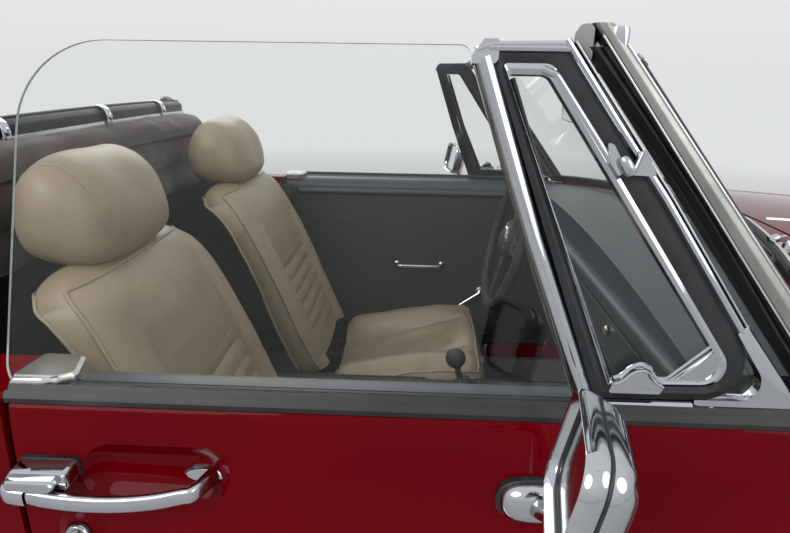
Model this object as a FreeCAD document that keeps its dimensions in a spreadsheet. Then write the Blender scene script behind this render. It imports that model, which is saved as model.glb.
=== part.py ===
# A two-seat open roadster of the 1960s and 1970s with its roof folded, as an assembly of its real pieces.
# Frame: +X forward, +Y to the car's left, +Z up. The origin is on the ground under the middle of the car.
import FreeCAD, Part
import Sketcher
import math
import os

from FreeCAD import Placement, Rotation, Vector

doc = FreeCAD.newDocument("roadster")
sheet = doc.addObject("Spreadsheet::Sheet", "sizes")

# Driving sizes in millimetres and degrees: alias, value, what it is.
SIZES = [
    ("overall_length", 3886, "over both bumpers"),
    ("front_overhang", 686, "front axle to front bumper"),
    ("wheelbase", 2311, "between the axles"),
    ("track_width", 1250, "between the wheel centre planes"),
    ("half_width", 760, "centre line to the widest point of the side"),
    ("sill_height", 196, "ground to the underside of the sills"),
    ("waist_height", 828, "ground to the top edge of door and wings"),
    ("waist_half", 716, "centre line to the outer edge of the waist"),
    ("swage_height", 560, "ground to the widest line of the side"),
    ("deck_height", 882, "ground to the scuttle crown"),
    ("shoulder_radius", 16, "rounding along the waist"),
    ("lower_bulge", 11, "roundness of the side below its widest line"),
    ("upper_bulge", 7, "roundness of the side above its widest line"),
    ("body_end", 68, "bumper face to the end of the body"),
    ("skin_wall", 7, "wall of the outer panels"),
    ("tyre_radius", 311, "165 section tyre on a 14 inch rim"),
    ("tyre_width", 165, "section width of the tyre"),
    ("rim_radius", 178, "bead seat radius of the rim"),
    ("rim_width", 130, "between the rim flanges"),
    ("rim_wall", 7, "wall of the rim"),
    ("slot_circle", 116, "middle of the wheel slots from the hub"),
    ("slot_radius", 15, "half the width of a wheel slot"),
    ("slot_count", 8, "slots in a wheel"),
    ("cap_radius", 78, "hub cap"),
    ("hub_radius", 62, "hub face that the wheel sits on"),
    ("seat_clearance", 0.3, "clearance between a seated turning piece and its seat"),
    ("arch_radius", 350, "wheel arch opening"),
    ("wheelhouse_radius", 400, "inside of the front wheelhouse"),
    ("bay_half", 350, "engine bay wall from the centre line"),
    ("tub_half", 510, "rear wheel tub wall from the centre line"),
    ("inner_wall", 10, "wall of the inner panels"),
    ("kingpin_half", 560, "steering axis from the centre line"),
    ("arm_low", 105, "lower wishbone below the front axle"),
    ("arm_high", 95, "upper wishbone above the front axle"),
    ("spring_rear", 560, "rear half of a rear leaf spring"),
    ("tow_eye_radius", 13, "hole of a towing eye"),
    ("tow_eye_wall", 10, "thickness of a towing eye"),
    ("brake_radius", 136, "brake disc and drum"),
    ("axle_radius", 36, "rear axle tube"),
    ("door_front", 512, "front edge of the door opening from the origin"),
    ("door_rear", -421, "rear edge of the door opening at the waist"),
    ("door_rear_lean", 46, "how far the rear edge comes forward down to the swage"),
    ("door_bottom", 262, "bottom edge of the door"),
    ("door_thickness", 92, "outer skin to inner face of the door at the waist"),
    ("door_gap", 6, "shut line round the doors"),
    ("door_corner", 60, "bottom corners of the doors"),
    ("hinge_inset", 10, "door hinge line behind the door's front edge"),
    ("hinge_half", 757, "door hinge line from the centre line"),
    ("knuckle_radius", 4, "rounded end of a door hinge knuckle"),
    ("knuckle_height", 24, "height of a door hinge knuckle"),
    ("knuckle_spread", 80, "between the middles of a door's two knuckles"),
    ("door_top_radius", 30, "rounding of the door's inner top edge"),
    ("lid_gap", 8, "shut line round bonnet and boot lid"),
    ("glass_wall", 5, "side glass"),
    ("glass_line", 690, "centre line to the side glass at the waist"),
    ("glass_depth", 60, "how far the raised glass reaches into the door"),
    ("glass_top", 1190, "top edge of the raised side glass"),
    ("glass_rear", -423, "rearmost point of the side glass"),
    ("glass_rise", 22, "height of that point above the waist"),
    ("glass_rear_top", -374, "rear edge of the side glass if it ran on to the top"),
    ("glass_corner", 98, "corner radius of the side glass"),
    ("glass_lean", 8.2, "degrees the side glass leans inward"),
    ("vent_base", 197, "foot of the quarter light's rear bar"),
    ("vent_top", 58, "head of the quarter light's rear bar"),
    ("vent_top_front", 160, "front of the quarter light's head"),
    ("vent_tip", 420, "front of the quarter light's foot"),
    ("vent_height", 1194, "top of the quarter light frame"),
    ("vent_bar", 22, "width of the quarter light's bars"),
    ("vent_depth", 20, "quarter light frame from inside to outside"),
    ("header_height", 1208, "top of the windscreen frame"),
    ("header_corner", 174, "rear edge of the header's ends from the origin"),
    ("header_bow", 150, "how far the header bows forward"),
    ("header_half", 642, "half width of the windscreen frame at its head"),
    ("header_depth", 34, "height of the header rail"),
    ("screen_foot", 460, "rear edge of the windscreen pillar's foot"),
    ("screen_bow", 172, "how far the windscreen base bows forward"),
    ("screen_half", 692, "half width of the windscreen frame at its base"),
    ("pillar_depth", 30, "fore and aft width of the windscreen pillar at its foot"),
    ("rail_depth", 17, "fore and aft width of the windscreen frame at its head"),
    ("pillar_width", 34, "width of the windscreen pillar from the front"),
    ("screen_glass", 6, "windscreen glass"),
    ("cockpit_front", 470, "front edge of the cockpit opening at the doors"),
    ("cockpit_bow", 160, "how far the opening's front edge bows forward"),
    ("cockpit_rear", -872, "rear edge of the cockpit opening"),
    ("cockpit_half", 624, "half width of the cockpit opening"),
    ("scuttle_half", 648, "seam between scuttle and front wing"),
    ("bonnet_rear", 728, "rear edge of the bonnet"),
    ("bonnet_front", 1752, "front edge of the bonnet"),
    ("bonnet_half", 548, "half width of the bonnet at its rear"),
    ("bonnet_taper", 46, "how much narrower each side is at the front"),
    ("boot_front", -1030, "front edge of the boot lid"),
    ("boot_rear", -1770, "rear edge of the boot lid"),
    ("boot_half", 500, "half width of the boot lid"),
    ("boot_taper", 40, "how much narrower each side is at the rear"),
    ("jack_pad_x", 100, "jacking pads ahead of the middle"),
    ("jack_pad_y", 500, "jacking pads from the centre line"),
    ("jack_pad_half", 35, "half width of a jacking pad"),
    ("jack_pad_drop", 5, "jacking pads below the floor"),
    ("lid_hinge_half", 430, "bonnet hinges from the centre line"),
    ("boot_hinge_half", 350, "boot hinges from the centre line"),
    ("lid_hinge_wall", 8, "thickness of a hinge arm and of its cheeks"),
    ("lid_wall", 16, "bonnet and boot lid with their inner frames"),
    ("grille_half", 365, "half width of the grille opening"),
    ("grille_bottom", 470, "lower edge of the grille opening"),
    ("grille_top", 636, "upper edge of the grille opening"),
    ("grille_corner", 30, "corners of the grille opening"),
    ("grille_frame", 12, "width of the grille's frame"),
    ("slat_pitch", 18, "spacing of the grille slats"),
    ("slat_width", 4, "width of a grille slat"),
    ("slat_depth", 14, "fore and aft depth of a grille slat"),
    ("tunnel_half", 112, "half width of the transmission tunnel"),
    ("tunnel_top", 400, "top of the transmission tunnel"),
    ("floor_wall", 14, "floor with its ribs"),
    ("floor_front", 640, "front end of the footwell floor"),
    ("bulkhead", 660, "front bulkhead"),
    ("heelboard", -640, "rear end of the low floor"),
    ("shelf_height", 470, "floor over the rear axle"),
    ("boot_floor", 350, "boot floor"),
    ("boot_floor_front", -1400, "front end of the low boot floor"),
    ("seat_centre", 330, "seat centre line from the car's centre"),
    ("seat_width", 424, "width of a seat"),
    ("seat_runner", 46, "height of the seat runners"),
    ("cushion_front", 226, "front of the seat cushion"),
    ("cushion_top", 446, "top of the cushion at its front"),
    ("cushion_dip", 90, "how much lower the cushion is at its rear"),
    ("cushion_roll", 60, "rounding of the cushion's front"),
    ("back_foot", -166, "front of the seat back at its foot"),
    ("back_lean", 23, "degrees the seat back leans"),
    ("back_wall", 116, "thickness of the seat back"),
    ("back_top", 862, "top of the seat backs"),
    ("headrest_height", 186, "height of a headrest"),
    ("headrest_width", 285, "width of a headrest"),
    ("headrest_wall", 128, "thickness of a headrest"),
    ("wheel_hub_x", 272, "steering wheel hub from the origin"),
    ("wheel_hub_height", 728, "steering wheel hub above the ground"),
    ("steering_radius", 190, "steering wheel radius to the rim's middle"),
    ("steering_rim", 13, "half the thickness of the steering wheel rim"),
    ("column_rake", 14, "degrees the column slopes down to the front"),
    ("column_radius", 17, "steering column"),
    ("dash_rear", 345, "rear edge of the dashboard"),
    ("dash_bottom", 610, "lower edge of the dashboard"),
    ("lamp_radius", 89, "seven inch headlamp glass"),
    ("lamp_ring", 99, "outer radius of the headlamp ring"),
    ("bucket_radius", 106, "wing round the headlamp"),
    ("lamp_front", 1808, "front of the headlamp ring"),
    ("lamp_height", 636, "headlamp centre above the ground"),
    ("lamp_half", 575, "headlamp centre from the centre line"),
    ("bumper_height", 430, "bumper centre above the ground"),
    ("bumper_depth", 104, "height of the bumper blade"),
    ("bumper_crown", 16, "how far the bumper blade bows outward in section"),
    ("bumper_wall", 4, "wall of the bumper blade"),
    ("bumper_curve", 4000, "radius of the bumper seen from above"),
    ("bumper_reach", 8.6, "degrees from the middle to the bumper's corner"),
    ("bumper_corner", 140, "radius of the bumper's wrapped ends"),
    ("overrider_half", 300, "overriders from the centre line"),
    ("engine_length", 700, "engine block with gearbox bell"),
    ("engine_width", 330, "engine block across the car"),
    ("engine_height", 440, "engine block"),
    ("engine_front", 1440, "front face of the engine"),
    ("engine_base", 262, "sump above the ground"),
    ("tank_length", 420, "fuel tank"),
    ("tank_width", 420, "fuel tank across the car"),
    ("tank_height", 130, "fuel tank"),
    ("pipe_radius", 22, "exhaust pipe"),
    ("pipe_height", 168, "exhaust pipe under the floor"),
    ("mirror_x", 136, "middle of the mirror's rim"),
    ("mirror_half", 858, "middle of the mirror head from the centre line"),
    ("mirror_height", 875, "middle of the mirror head"),
    ("mirror_width", 134, "mirror head across the car"),
    ("mirror_tall", 104, "height of the mirror head"),
    ("mirror_toe", 12, "degrees the mirror faces inward"),
    ("mirror_tilt", 11, "degrees the mirror faces upward"),
    ("mirror_shell", 44, "fore and aft depth of the mirror head"),
    ("handle_front", -186, "front end of the door handle"),
    ("handle_rear", -398, "rear end of the door handle"),
    ("handle_height", 761, "door handle above the ground"),
    ("handle_reach", 767, "outer face of the door handle from the centre line"),
    ("handle_tall", 20, "height of the handle's grip"),
    ("recess_x", -252, "middle of the finger recess in the door"),
    ("recess_length", 156, "finger recess along the door"),
    ("recess_half", 30, "half height of the finger recess"),
    ("recess_depth", 14, "depth of the finger recess"),
    ("hood_front", -640, "front of the folded roof"),
    ("hood_half", 525, "half width of the folded roof"),
    ("hood_top", 1056, "top of the folded roof"),
    ("hood_foot", 838, "underside of the folded roof"),
]
for row, (alias, value, note) in enumerate(SIZES, start=1):
    sheet.set(f"A{row}", note)
    sheet.set(f"B{row}", str(value))
    sheet.setAlias(f"B{row}", alias)
doc.recompute()


def size(alias):
    """A driving size read back from the sheet."""
    return float(sheet.get(alias))


HALF_LENGTH = size("overall_length") / 2
FRONT_AXLE = HALF_LENGTH - size("front_overhang")
REAR_AXLE = FRONT_AXLE - size("wheelbase")
HALF_TRACK = size("track_width") / 2
TYRE_R = size("tyre_radius")
SILL = size("sill_height")
WAIST = size("waist_height")
WAIST_Y = size("waist_half")
WIDE = size("half_width")
SWAGE = size("swage_height")
DECK = size("deck_height")
SHOULDER = size("shoulder_radius")
LOWER_BULGE = size("lower_bulge")
UPPER_BULGE = size("upper_bulge")
SKIN = size("skin_wall")
INNER = size("inner_wall")
DOOR_FRONT = size("door_front")
DOOR_REAR = size("door_rear")
DOOR_BOTTOM = size("door_bottom")
DOOR_FACE = WAIST_Y - size("door_thickness")
CABIN_Y = DOOR_FACE - size("inner_wall")
GAP = size("door_gap")
LID_GAP = size("lid_gap")
SEATED = size("seat_clearance")
FAR = size("overall_length")
LEFT, RIGHT = 1, -1
SIDES = [("left", LEFT), ("right", RIGHT)]
parts = []


def sub_part(label, shape):
    """Adds one sub-part to the document under its own label."""
    item = doc.addObject("Part::Feature", label)
    item.Label = label
    item.Shape = shape
    parts.append(item)
    return item


def block(x0, x1, y0, y1, z0, z1):
    """A box between two corners."""
    return Part.makeBox(x1 - x0, y1 - y0, z1 - z0, Vector(x0, y0, z0))


def rod(start, end, radius):
    """A round bar between two points."""
    start, end = Vector(*start), Vector(*end)
    return Part.makeCylinder(radius, (end - start).Length, start, end - start)


def fused(shapes):
    """All shapes as one solid or compound."""
    shapes = list(shapes)
    return shapes[0].multiFuse(shapes[1:]).removeSplitter() if len(shapes) > 1 else shapes[0]


def mirrored(shape):
    """The same piece on the other side of the car."""
    return shape.mirror(Vector(0, 0, 0), Vector(0, 1, 0))


def on_side(shape, side):
    """A piece drawn for the left side, put on the side asked for."""
    return shape if side == LEFT else mirrored(shape)


def polygon_prism(points, plane, low, high, corner=0):
    """An outline pushed between two levels. plane "xz" pushes along Y, "xy" along Z and "yz" along X.
    corner rounds the outline's corners: one radius, or one for each point."""
    count = len(points)
    radii = corner if isinstance(corner, (list, tuple)) else [corner] * count
    place = {
        "xz": lambda p: Vector(p[0], low, p[1]),
        "xy": lambda p: Vector(p[0], p[1], low),
        "yz": lambda p: Vector(low, p[0], p[1]),
    }[plane]
    push = {"xz": Vector(0, high - low, 0), "xy": Vector(0, 0, high - low), "yz": Vector(high - low, 0, 0)}[plane]
    edges, starts, ends = [], [], []
    for i in range(count):
        p, before, after = (place(points[j % count]) for j in (i, i - 1, i + 1))
        if radii[i] <= 0:
            starts.append(p)
            ends.append(p)
            edges.append(None)
            continue
        to_before, to_after = (before - p).normalize(), (after - p).normalize()
        half = to_before.getAngle(to_after) / 2
        back = radii[i] / math.tan(half)
        middle = (to_before + to_after).normalize()
        first, last = p + to_before * back, p + to_after * back
        top = p + middle * (radii[i] / math.sin(half) - radii[i])
        starts.append(first)
        ends.append(last)
        edges.append(Part.Arc(first, top, last).toShape())
    outline = []
    for i in range(count):
        if edges[i] is not None:
            outline.append(edges[i])
        a, b = ends[i], starts[(i + 1) % count]
        if (b - a).Length > 1e-6:
            outline.append(Part.LineSegment(a, b).toShape())
    return Part.Face(Part.Wire(outline)).extrude(push)


def bowed(a, b, bulge):
    """An arc in a plane of constant X from a to b whose middle stands out by bulge, away from the body."""
    chord = b - a
    out = Vector(0, chord.z, -chord.y).normalize()
    return Part.Arc(a, (a + b) / 2 + out * bulge, b).toShape()


# The outer form: one section at each station from nose to tail.
# x, underside z, underside half width, widest half width, widest z, waist half width, waist z, crown z
def stations():
    """The body's sections, worked out from the driving sizes. Each row is one section."""
    nose = HALF_LENGTH - size("body_end")
    tail = -nose
    return [
        (nose, SILL + 150, WIDE - 250, WIDE - 196, SWAGE - 60, WAIST_Y - 216, WAIST - 182, WAIST - 150),
        (nose - 14, SILL + 138, WIDE - 205, WIDE - 148, SWAGE - 52, WAIST_Y - 166, WAIST - 146, WAIST - 116),
        (nose - 52, SILL + 122, WIDE - 140, WIDE - 92, SWAGE - 40, WAIST_Y - 100, WAIST - 108, WAIST - 76),
        (nose - 140, SILL + 100, WIDE - 92, WIDE - 46, SWAGE - 20, WAIST_Y - 46, WAIST - 70, WAIST - 34),
        (FRONT_AXLE + 120, SILL + 60, WIDE - 60, WIDE - 12, SWAGE, WAIST_Y - 18, WAIST - 34, WAIST + 12),
        (FRONT_AXLE - 300, SILL + 10, WIDE - 52, WIDE - 4, SWAGE, WAIST_Y - 4, WAIST - 12, WAIST + 40),
        (DOOR_FRONT + 60, SILL, WIDE - 50, WIDE, SWAGE, WAIST_Y, WAIST, DECK),
        (0, SILL, WIDE - 50, WIDE, SWAGE, WAIST_Y, WAIST, DECK - 6),
        (DOOR_REAR - 60, SILL, WIDE - 50, WIDE, SWAGE, WAIST_Y, WAIST, DECK - 22),
        (REAR_AXLE, SILL + 20, WIDE - 55, WIDE - 6, SWAGE, WAIST_Y - 8, WAIST - 12, WAIST + 26),
        (tail + 330, SILL + 60, WIDE - 85, WIDE - 30, SWAGE, WAIST_Y - 34, WAIST - 52, WAIST - 20),
        (tail + 56, SILL + 96, WIDE - 132, WIDE - 84, SWAGE - 10, WAIST_Y - 86, WAIST - 92, WAIST - 66),
        (tail + 14, SILL + 112, WIDE - 190, WIDE - 140, SWAGE - 16, WAIST_Y - 140, WAIST - 118, WAIST - 94),
        (tail, SILL + 126, WIDE - 232, WIDE - 186, SWAGE - 20, WAIST_Y - 184, WAIST - 150, WAIST - 128),
    ]


def section(station, inset=0, drop=0):
    """One closed section of the body, made smaller all round by inset, its underside lower by drop."""
    x, z_low, y_low, y_wide, z_wide, y_waist, z_waist, z_crown = station
    y_low, y_wide, y_waist = y_low - inset, y_wide - inset, y_waist - inset
    z_waist, z_crown, z_low = z_waist - inset, z_crown - inset, z_low - drop
    low, wide = Vector(x, y_low, z_low), Vector(x, y_wide, z_wide)
    edge = Vector(x, y_waist, z_waist - SHOULDER)
    crest = Vector(x, y_waist - SHOULDER * 1.6, z_waist)
    crown = Vector(x, 0, z_crown)
    knee = Vector(x, y_waist - SHOULDER * 0.42, z_waist - SHOULDER * 0.25)
    half = [
        bowed(low, wide, LOWER_BULGE),
        bowed(wide, edge, UPPER_BULGE),
        Part.Arc(edge, knee, crest).toShape(),
    ]
    flip = FreeCAD.Matrix()
    flip.scale(1, -1, 1)
    other = [e.transformGeometry(flip) for e in half]
    deck = Part.Arc(crest, crown, Vector(x, -crest.y, crest.z)).toShape()
    floor = Part.LineSegment(low, Vector(x, -low.y, low.z)).toShape()
    return Part.Wire(Part.__sortEdges__(half + [deck] + other + [floor]))


def body_form(inset=0, drop=0, ends=0):
    """The solid form of the whole body, or the same form made smaller by inset to hollow it."""
    rows = [list(r) for r in stations()]
    rows[0][0] -= ends
    rows[-1][0] += ends
    return Part.makeLoft([section(r, inset, drop) for r in rows], True, False)


OUTER = body_form()
HOLLOW = body_form(SKIN, 3 * SKIN, SKIN)
LINING = body_form(SKIN + INNER, 3 * SKIN, SKIN + INNER)
SHELL = OUTER.cut(HOLLOW)


# The openings that the outer panels share, each written once with the gap of what closes it.
def door_outline(back_off):
    """The door's outline from the side, made smaller all round by back_off: points and corner radii."""
    front = DOOR_FRONT - back_off
    rear_top = DOOR_REAR + back_off
    rear_swage = DOOR_REAR + size("door_rear_lean") + back_off
    bottom = DOOR_BOTTOM + back_off - GAP
    rear_foot = rear_swage + 2 * SHOULDER
    points = [(front, WAIST), (front, bottom), (rear_foot, bottom), (rear_swage, SWAGE), (rear_top, WAIST)]
    return points, [0, size("door_corner") - back_off, size("door_corner") - back_off, 150, 0]


def door_prism(back_off, low, high, top=0):
    """The door's outline pushed from low to high across the car, its top raised by top."""
    points, radii = door_outline(back_off)
    points[0] = (points[0][0], WAIST + top)
    lean = (points[4][0] - points[3][0]) / (WAIST - SWAGE)
    points[4] = (points[4][0] + lean * top, WAIST + top)
    return polygon_prism(points, "xz", low, high, radii)


def bonnet_prism(back_off):
    """The bonnet's outline from above, smaller by back_off."""
    rear, front = size("bonnet_rear") + back_off, size("bonnet_front") - back_off
    wide = size("bonnet_half") - back_off
    narrow = wide - size("bonnet_taper")
    points = [(rear, -wide), (front, -narrow), (front, narrow), (rear, wide)]
    return polygon_prism(points, "xy", SWAGE, DECK + DECK, [10, 50, 50, 10])


def boot_prism(back_off):
    """The boot lid's outline from above, smaller by back_off."""
    front, rear = size("boot_front") - back_off, size("boot_rear") + back_off
    wide = size("boot_half") - back_off
    narrow = wide - size("boot_taper")
    points = [(front, wide), (rear, narrow), (rear, -narrow), (front, -wide)]
    return polygon_prism(points, "xy", SWAGE, DECK + DECK, [60, 70, 70, 60])


def bowed_prism(rear, half, ends, bow, low, high):
    """A prism from a straight rear edge to a front edge that bows forward, seen from above."""
    a, b = Vector(rear, -half, low), Vector(ends, -half, low)
    c, d = Vector(ends, half, low), Vector(rear, half, low)
    front = Part.Arc(b, Vector(ends + bow, 0, low), c).toShape()
    sides = [Part.LineSegment(a, b).toShape(), Part.LineSegment(c, d).toShape(), Part.LineSegment(d, a).toShape()]
    outline = Part.Wire(Part.__sortEdges__([front] + sides))
    return Part.Face(outline).extrude(Vector(0, 0, high - low))


COCKPIT = bowed_prism(
    size("cockpit_rear"), size("cockpit_half"), size("cockpit_front"), size("cockpit_bow"), SWAGE, DECK + DECK
)
ARCHES = [rod((x, -FAR, TYRE_R), (x, FAR, TYRE_R), size("arch_radius")) for x in (FRONT_AXLE, REAR_AXLE)]
LAMP_PLACES = [(size("lamp_half") * side, size("lamp_height")) for name, side in SIDES]
BAY = size("bay_half")
NOSE = HALF_LENGTH - size("body_end")
SCUTTLE_Y = size("scuttle_half")
BULKHEAD = size("bulkhead")
FLOOR_TOP = SILL + size("floor_wall")

HINGE = Vector(DOOR_FRONT - size("hinge_inset"), size("hinge_half"), SWAGE)


def hinge_knuckles(back_off):
    """The rounded ends on the hinge line that carry a door, made larger by back_off for their pockets."""
    reach, half = size("knuckle_radius") + back_off, size("knuckle_height") / 2 + back_off
    knuckles = []
    for s in (-1, 1):
        middle = HINGE + Vector(0, 0, s * size("knuckle_spread") / 2)
        low, high = middle - Vector(0, 0, half), middle + Vector(0, 0, half)
        arm = block(HINGE.x, DOOR_FRONT + SKIN, HINGE.y - reach, FAR, low.z, high.z)
        knuckles.append(rod(low, high, reach).fuse(arm))
    return fused(knuckles)


# Front wings: the side skin ahead of the doors, with the headlamp buckets and the door hinges.
NOSE_SEAM = size("bonnet_front") - size("bonnet_taper")
LAMP_CLEAR = size("lamp_half") - size("bucket_radius") - LID_GAP
wing_front = block(DOOR_FRONT, NOSE_SEAM, SCUTTLE_Y, FAR, 0, FAR)
wing_front = wing_front.fuse(block(size("bonnet_rear"), NOSE_SEAM, size("bonnet_half"), FAR, 0, FAR))
wing_nose = block(NOSE_SEAM, FAR, LAMP_CLEAR, FAR, 0, FAR)
bucket_end = size("lamp_front") - 3 * INNER
bucket_start = bucket_end - 120
lamp_y, lamp_z = LAMP_PLACES[0]
wing = SHELL.common(wing_front.fuse(wing_nose)).cut(bonnet_prism(0)).cut(ARCHES[0])
wing = wing.cut(rod((bucket_start, lamp_y, lamp_z), (FAR, lamp_y, lamp_z), size("bucket_radius") - SKIN))
bucket = rod((bucket_start, lamp_y, lamp_z), (bucket_end, lamp_y, lamp_z), size("bucket_radius"))
well = rod((bucket_start + SKIN, lamp_y, lamp_z), (FAR, lamp_y, lamp_z), size("bucket_radius") - SKIN)
wing = wing.cut(rod((bucket_end, lamp_y, lamp_z), (FAR, lamp_y, lamp_z), size("bucket_radius")))
wing = fused([wing, bucket.cut(well), OUTER.common(hinge_knuckles(0))])
sub_part("front_wings", Part.makeCompound([wing, mirrored(wing)]))

# Nose panel between the wings, with the grille opening.
grille_mouth = polygon_prism(
    [(-size("grille_half"), size("grille_bottom")), (size("grille_half"), size("grille_bottom")),
     (size("grille_half"), size("grille_top")), (-size("grille_half"), size("grille_top"))],
    "yz", NOSE_SEAM, FAR, size("grille_corner"))
nose = SHELL.common(block(NOSE_SEAM, FAR, -LAMP_CLEAR, LAMP_CLEAR, 0, FAR))
sub_part("nose_panel", nose.cut(bonnet_prism(0)).cut(grille_mouth))

# Scuttle between the windscreen and the bonnet.
scuttle = SHELL.common(block(size("cockpit_front"), size("bonnet_rear"), -SCUTTLE_Y, SCUTTLE_Y, SWAGE + 100, FAR))
scuttle = scuttle.cut(COCKPIT).cut(door_prism(0, CABIN_Y, FAR, 100))
scuttle = scuttle.cut(mirrored(door_prism(0, CABIN_Y, FAR, 100)))
sub_part("scuttle", scuttle)

# Rear body: rear wings, deck and tail in one skin behind the doors.
rear = SHELL.common(block(-FAR, size("cockpit_front"), -FAR, FAR, 0, FAR)).cut(ARCHES[1]).cut(COCKPIT)
rear = rear.cut(boot_prism(0))
rear = rear.cut(door_prism(0, CABIN_Y, FAR, 100))
rear = rear.cut(mirrored(door_prism(0, CABIN_Y, FAR, 100)))
rear = rear.cut(block(DOOR_REAR + size("door_rear_lean") + 100, FAR, -FAR, FAR, 0, FAR))
sub_part("rear_body", rear)
# Bonnet and boot lid: the outer form's skin with the inner frame's thickness.
LID_FORM = body_form(size("lid_wall"), 3 * SKIN, size("lid_wall"))
LID_SHELL = OUTER.cut(LID_FORM)
ARM_WALL = size("lid_hinge_wall")
ARM_TOP = WAIST - size("lid_wall") - GAP
ARM_FOOT = ARM_TOP - 3 * ARM_WALL


def hinge_arm(x0, x1, y):
    """A hinge arm under a lid, up into the lid's inner face."""
    return block(x0, x1, y - ARM_WALL / 2, y + ARM_WALL / 2, ARM_FOOT, DECK).common(LID_FORM)


def hinge_cheeks(x0, x1, y):
    """The two fixed plates that an arm swings between."""
    near, far = ARM_WALL / 2 + SEATED, ARM_WALL / 2 + SEATED + ARM_WALL
    plates = [block(x0, x1, y + near, y + far, ARM_FOOT, ARM_TOP), block(x0, x1, y - far, y - near, ARM_FOOT, ARM_TOP)]
    return plates


lid_zone = block(-FAR, FAR, -FAR, FAR, SWAGE, FAR)
bonnet_edge, boot_edge = size("bonnet_rear") + LID_GAP, size("boot_front") - LID_GAP
bonnet_arms = [hinge_arm(bonnet_edge + GAP, bonnet_edge + 6 * GAP, size("lid_hinge_half") * s) for s in (1, -1)]
boot_arms = [hinge_arm(boot_edge - 6 * GAP, boot_edge - GAP, size("boot_hinge_half") * s) for s in (1, -1)]
sub_part("bonnet", fused([LID_SHELL.common(bonnet_prism(LID_GAP)).common(lid_zone)] + bonnet_arms))
sub_part("boot_lid", fused([LID_SHELL.common(boot_prism(LID_GAP)).common(lid_zone)] + boot_arms))

# Sills under the doors, and the posts that the doors shut against.
sill_front, sill_rear = DOOR_FRONT, DOOR_REAR + size("door_rear_lean") + 100
sill = OUTER.common(block(sill_rear, sill_front, CABIN_Y, FAR, SILL, DOOR_BOTTOM - GAP))
post_depth = 5 * INNER
hinge_post = HOLLOW.common(block(DOOR_FRONT, DOOR_FRONT + post_depth, CABIN_Y, FAR, SILL, DECK))
lock_zone = block(DOOR_REAR - post_depth, sill_rear, CABIN_Y, FAR, FLOOR_TOP, WAIST - SKIN)
lock_post = HOLLOW.common(lock_zone).cut(door_prism(0, 0, FAR, 100))
wheel_room = rod((REAR_AXLE, 0, TYRE_R), (REAR_AXLE, FAR, TYRE_R), size("arch_radius") + INNER)
lock_post = lock_post.cut(wheel_room)
frame_side = fused([sill, hinge_post, lock_post])
sub_part("sills_and_door_posts", Part.makeCompound([frame_side, mirrored(frame_side)]))

# Floor, tunnel, bulkhead and the rest of the inner structure.
TUNNEL = size("tunnel_half")
HEEL = size("heelboard")
SHELF = size("shelf_height")
TUB_Y = size("tub_half")
cabin_half = CABIN_Y
floor = block(HEEL, size("floor_front"), -cabin_half, cabin_half, SILL, FLOOR_TOP)
tunnel_hole = block(HEEL - INNER, FAR, -TUNNEL + INNER, TUNNEL - INNER, 0, size("tunnel_top") - INNER)
tunnel = block(HEEL, BULKHEAD, -TUNNEL, TUNNEL, SILL, size("tunnel_top")).cut(tunnel_hole)
floor = floor.cut(tunnel_hole).fuse(tunnel)
heel_wall = block(HEEL - INNER, HEEL, -cabin_half, cabin_half, SILL, SHELF)
shelf = block(size("cockpit_rear"), HEEL, -cabin_half, cabin_half, SHELF, SHELF + INNER)
rear_rise = size("boot_floor_front")
shelf_rear = block(rear_rise, size("cockpit_rear"), -cabin_half, cabin_half, SHELF, SHELF + INNER)
boot_step = block(rear_rise - INNER, rear_rise, -TUB_Y, TUB_Y, size("boot_floor"), SHELF + INNER)
boot_floor = block(-HALF_LENGTH, rear_rise, -cabin_half, cabin_half, size("boot_floor"), size("boot_floor") + INNER)
wall_x = size("cockpit_rear") - INNER
boot_wall = block(wall_x, size("cockpit_rear"), -WIDE, WIDE, SHELF, DECK)
bulkhead = block(size("floor_front"), BULKHEAD, -WIDE, WIDE, SILL, DECK)
rear_box = fused([heel_wall, shelf, shelf_rear, boot_step, boot_floor, boot_wall]).common(HOLLOW)


def wheel_house(axle_x, radius, wall_y, floor_z):
    """The arched cover over a wheel: an inner wall and a curved roof out to the body's skin."""
    outer = rod((axle_x, wall_y, TYRE_R), (axle_x, WIDE, TYRE_R), radius + INNER)
    inner = rod((axle_x, wall_y + INNER, TYRE_R), (axle_x, WIDE + 1, TYRE_R), radius)
    house = outer.cut(inner).cut(block(axle_x - FAR, axle_x + FAR, wall_y + INNER, FAR, 0, TYRE_R - INNER))
    return house.cut(block(axle_x - FAR, axle_x + FAR, -FAR, FAR, 0, floor_z))


rear_tub = wheel_house(REAR_AXLE, size("arch_radius"), TUB_Y, SILL)
front_house = wheel_house(FRONT_AXLE, size("wheelhouse_radius"), BAY, SILL).common(HOLLOW)
REAR_ROOMS = [
    rod((REAR_AXLE, TUB_Y * side, TYRE_R), (REAR_AXLE, FAR * side, TYRE_R), size("arch_radius") + INNER)
    for name, side in SIDES
]
for room in REAR_ROOMS:
    rear_box = rear_box.cut(room)
rear_box = rear_box.cut(tunnel_hole)
axle_slot = block(REAR_AXLE - 54, REAR_AXLE + 54, 0, FAR, 0, TYRE_R + 90)
rear_tub = rear_tub.cut(axle_slot)
bay_wall = block(BULKHEAD, NOSE_SEAM, BAY, BAY + INNER, SILL + 10 * INNER, DECK - 14 * INNER).common(LINING)
rail = block(BULKHEAD, NOSE - 6 * INNER, BAY - 4 * INNER, BAY, SILL + 6 * INNER, SILL + 14 * INNER)
ARM_LOW, ARM_HIGH = TYRE_R - size("arm_low"), TYRE_R + size("arm_high")
low_window = block(FRONT_AXLE - 90, FRONT_AXLE + 90, BAY - INNER, BAY + 2 * INNER, 0, ARM_LOW + 2 * INNER)
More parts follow.
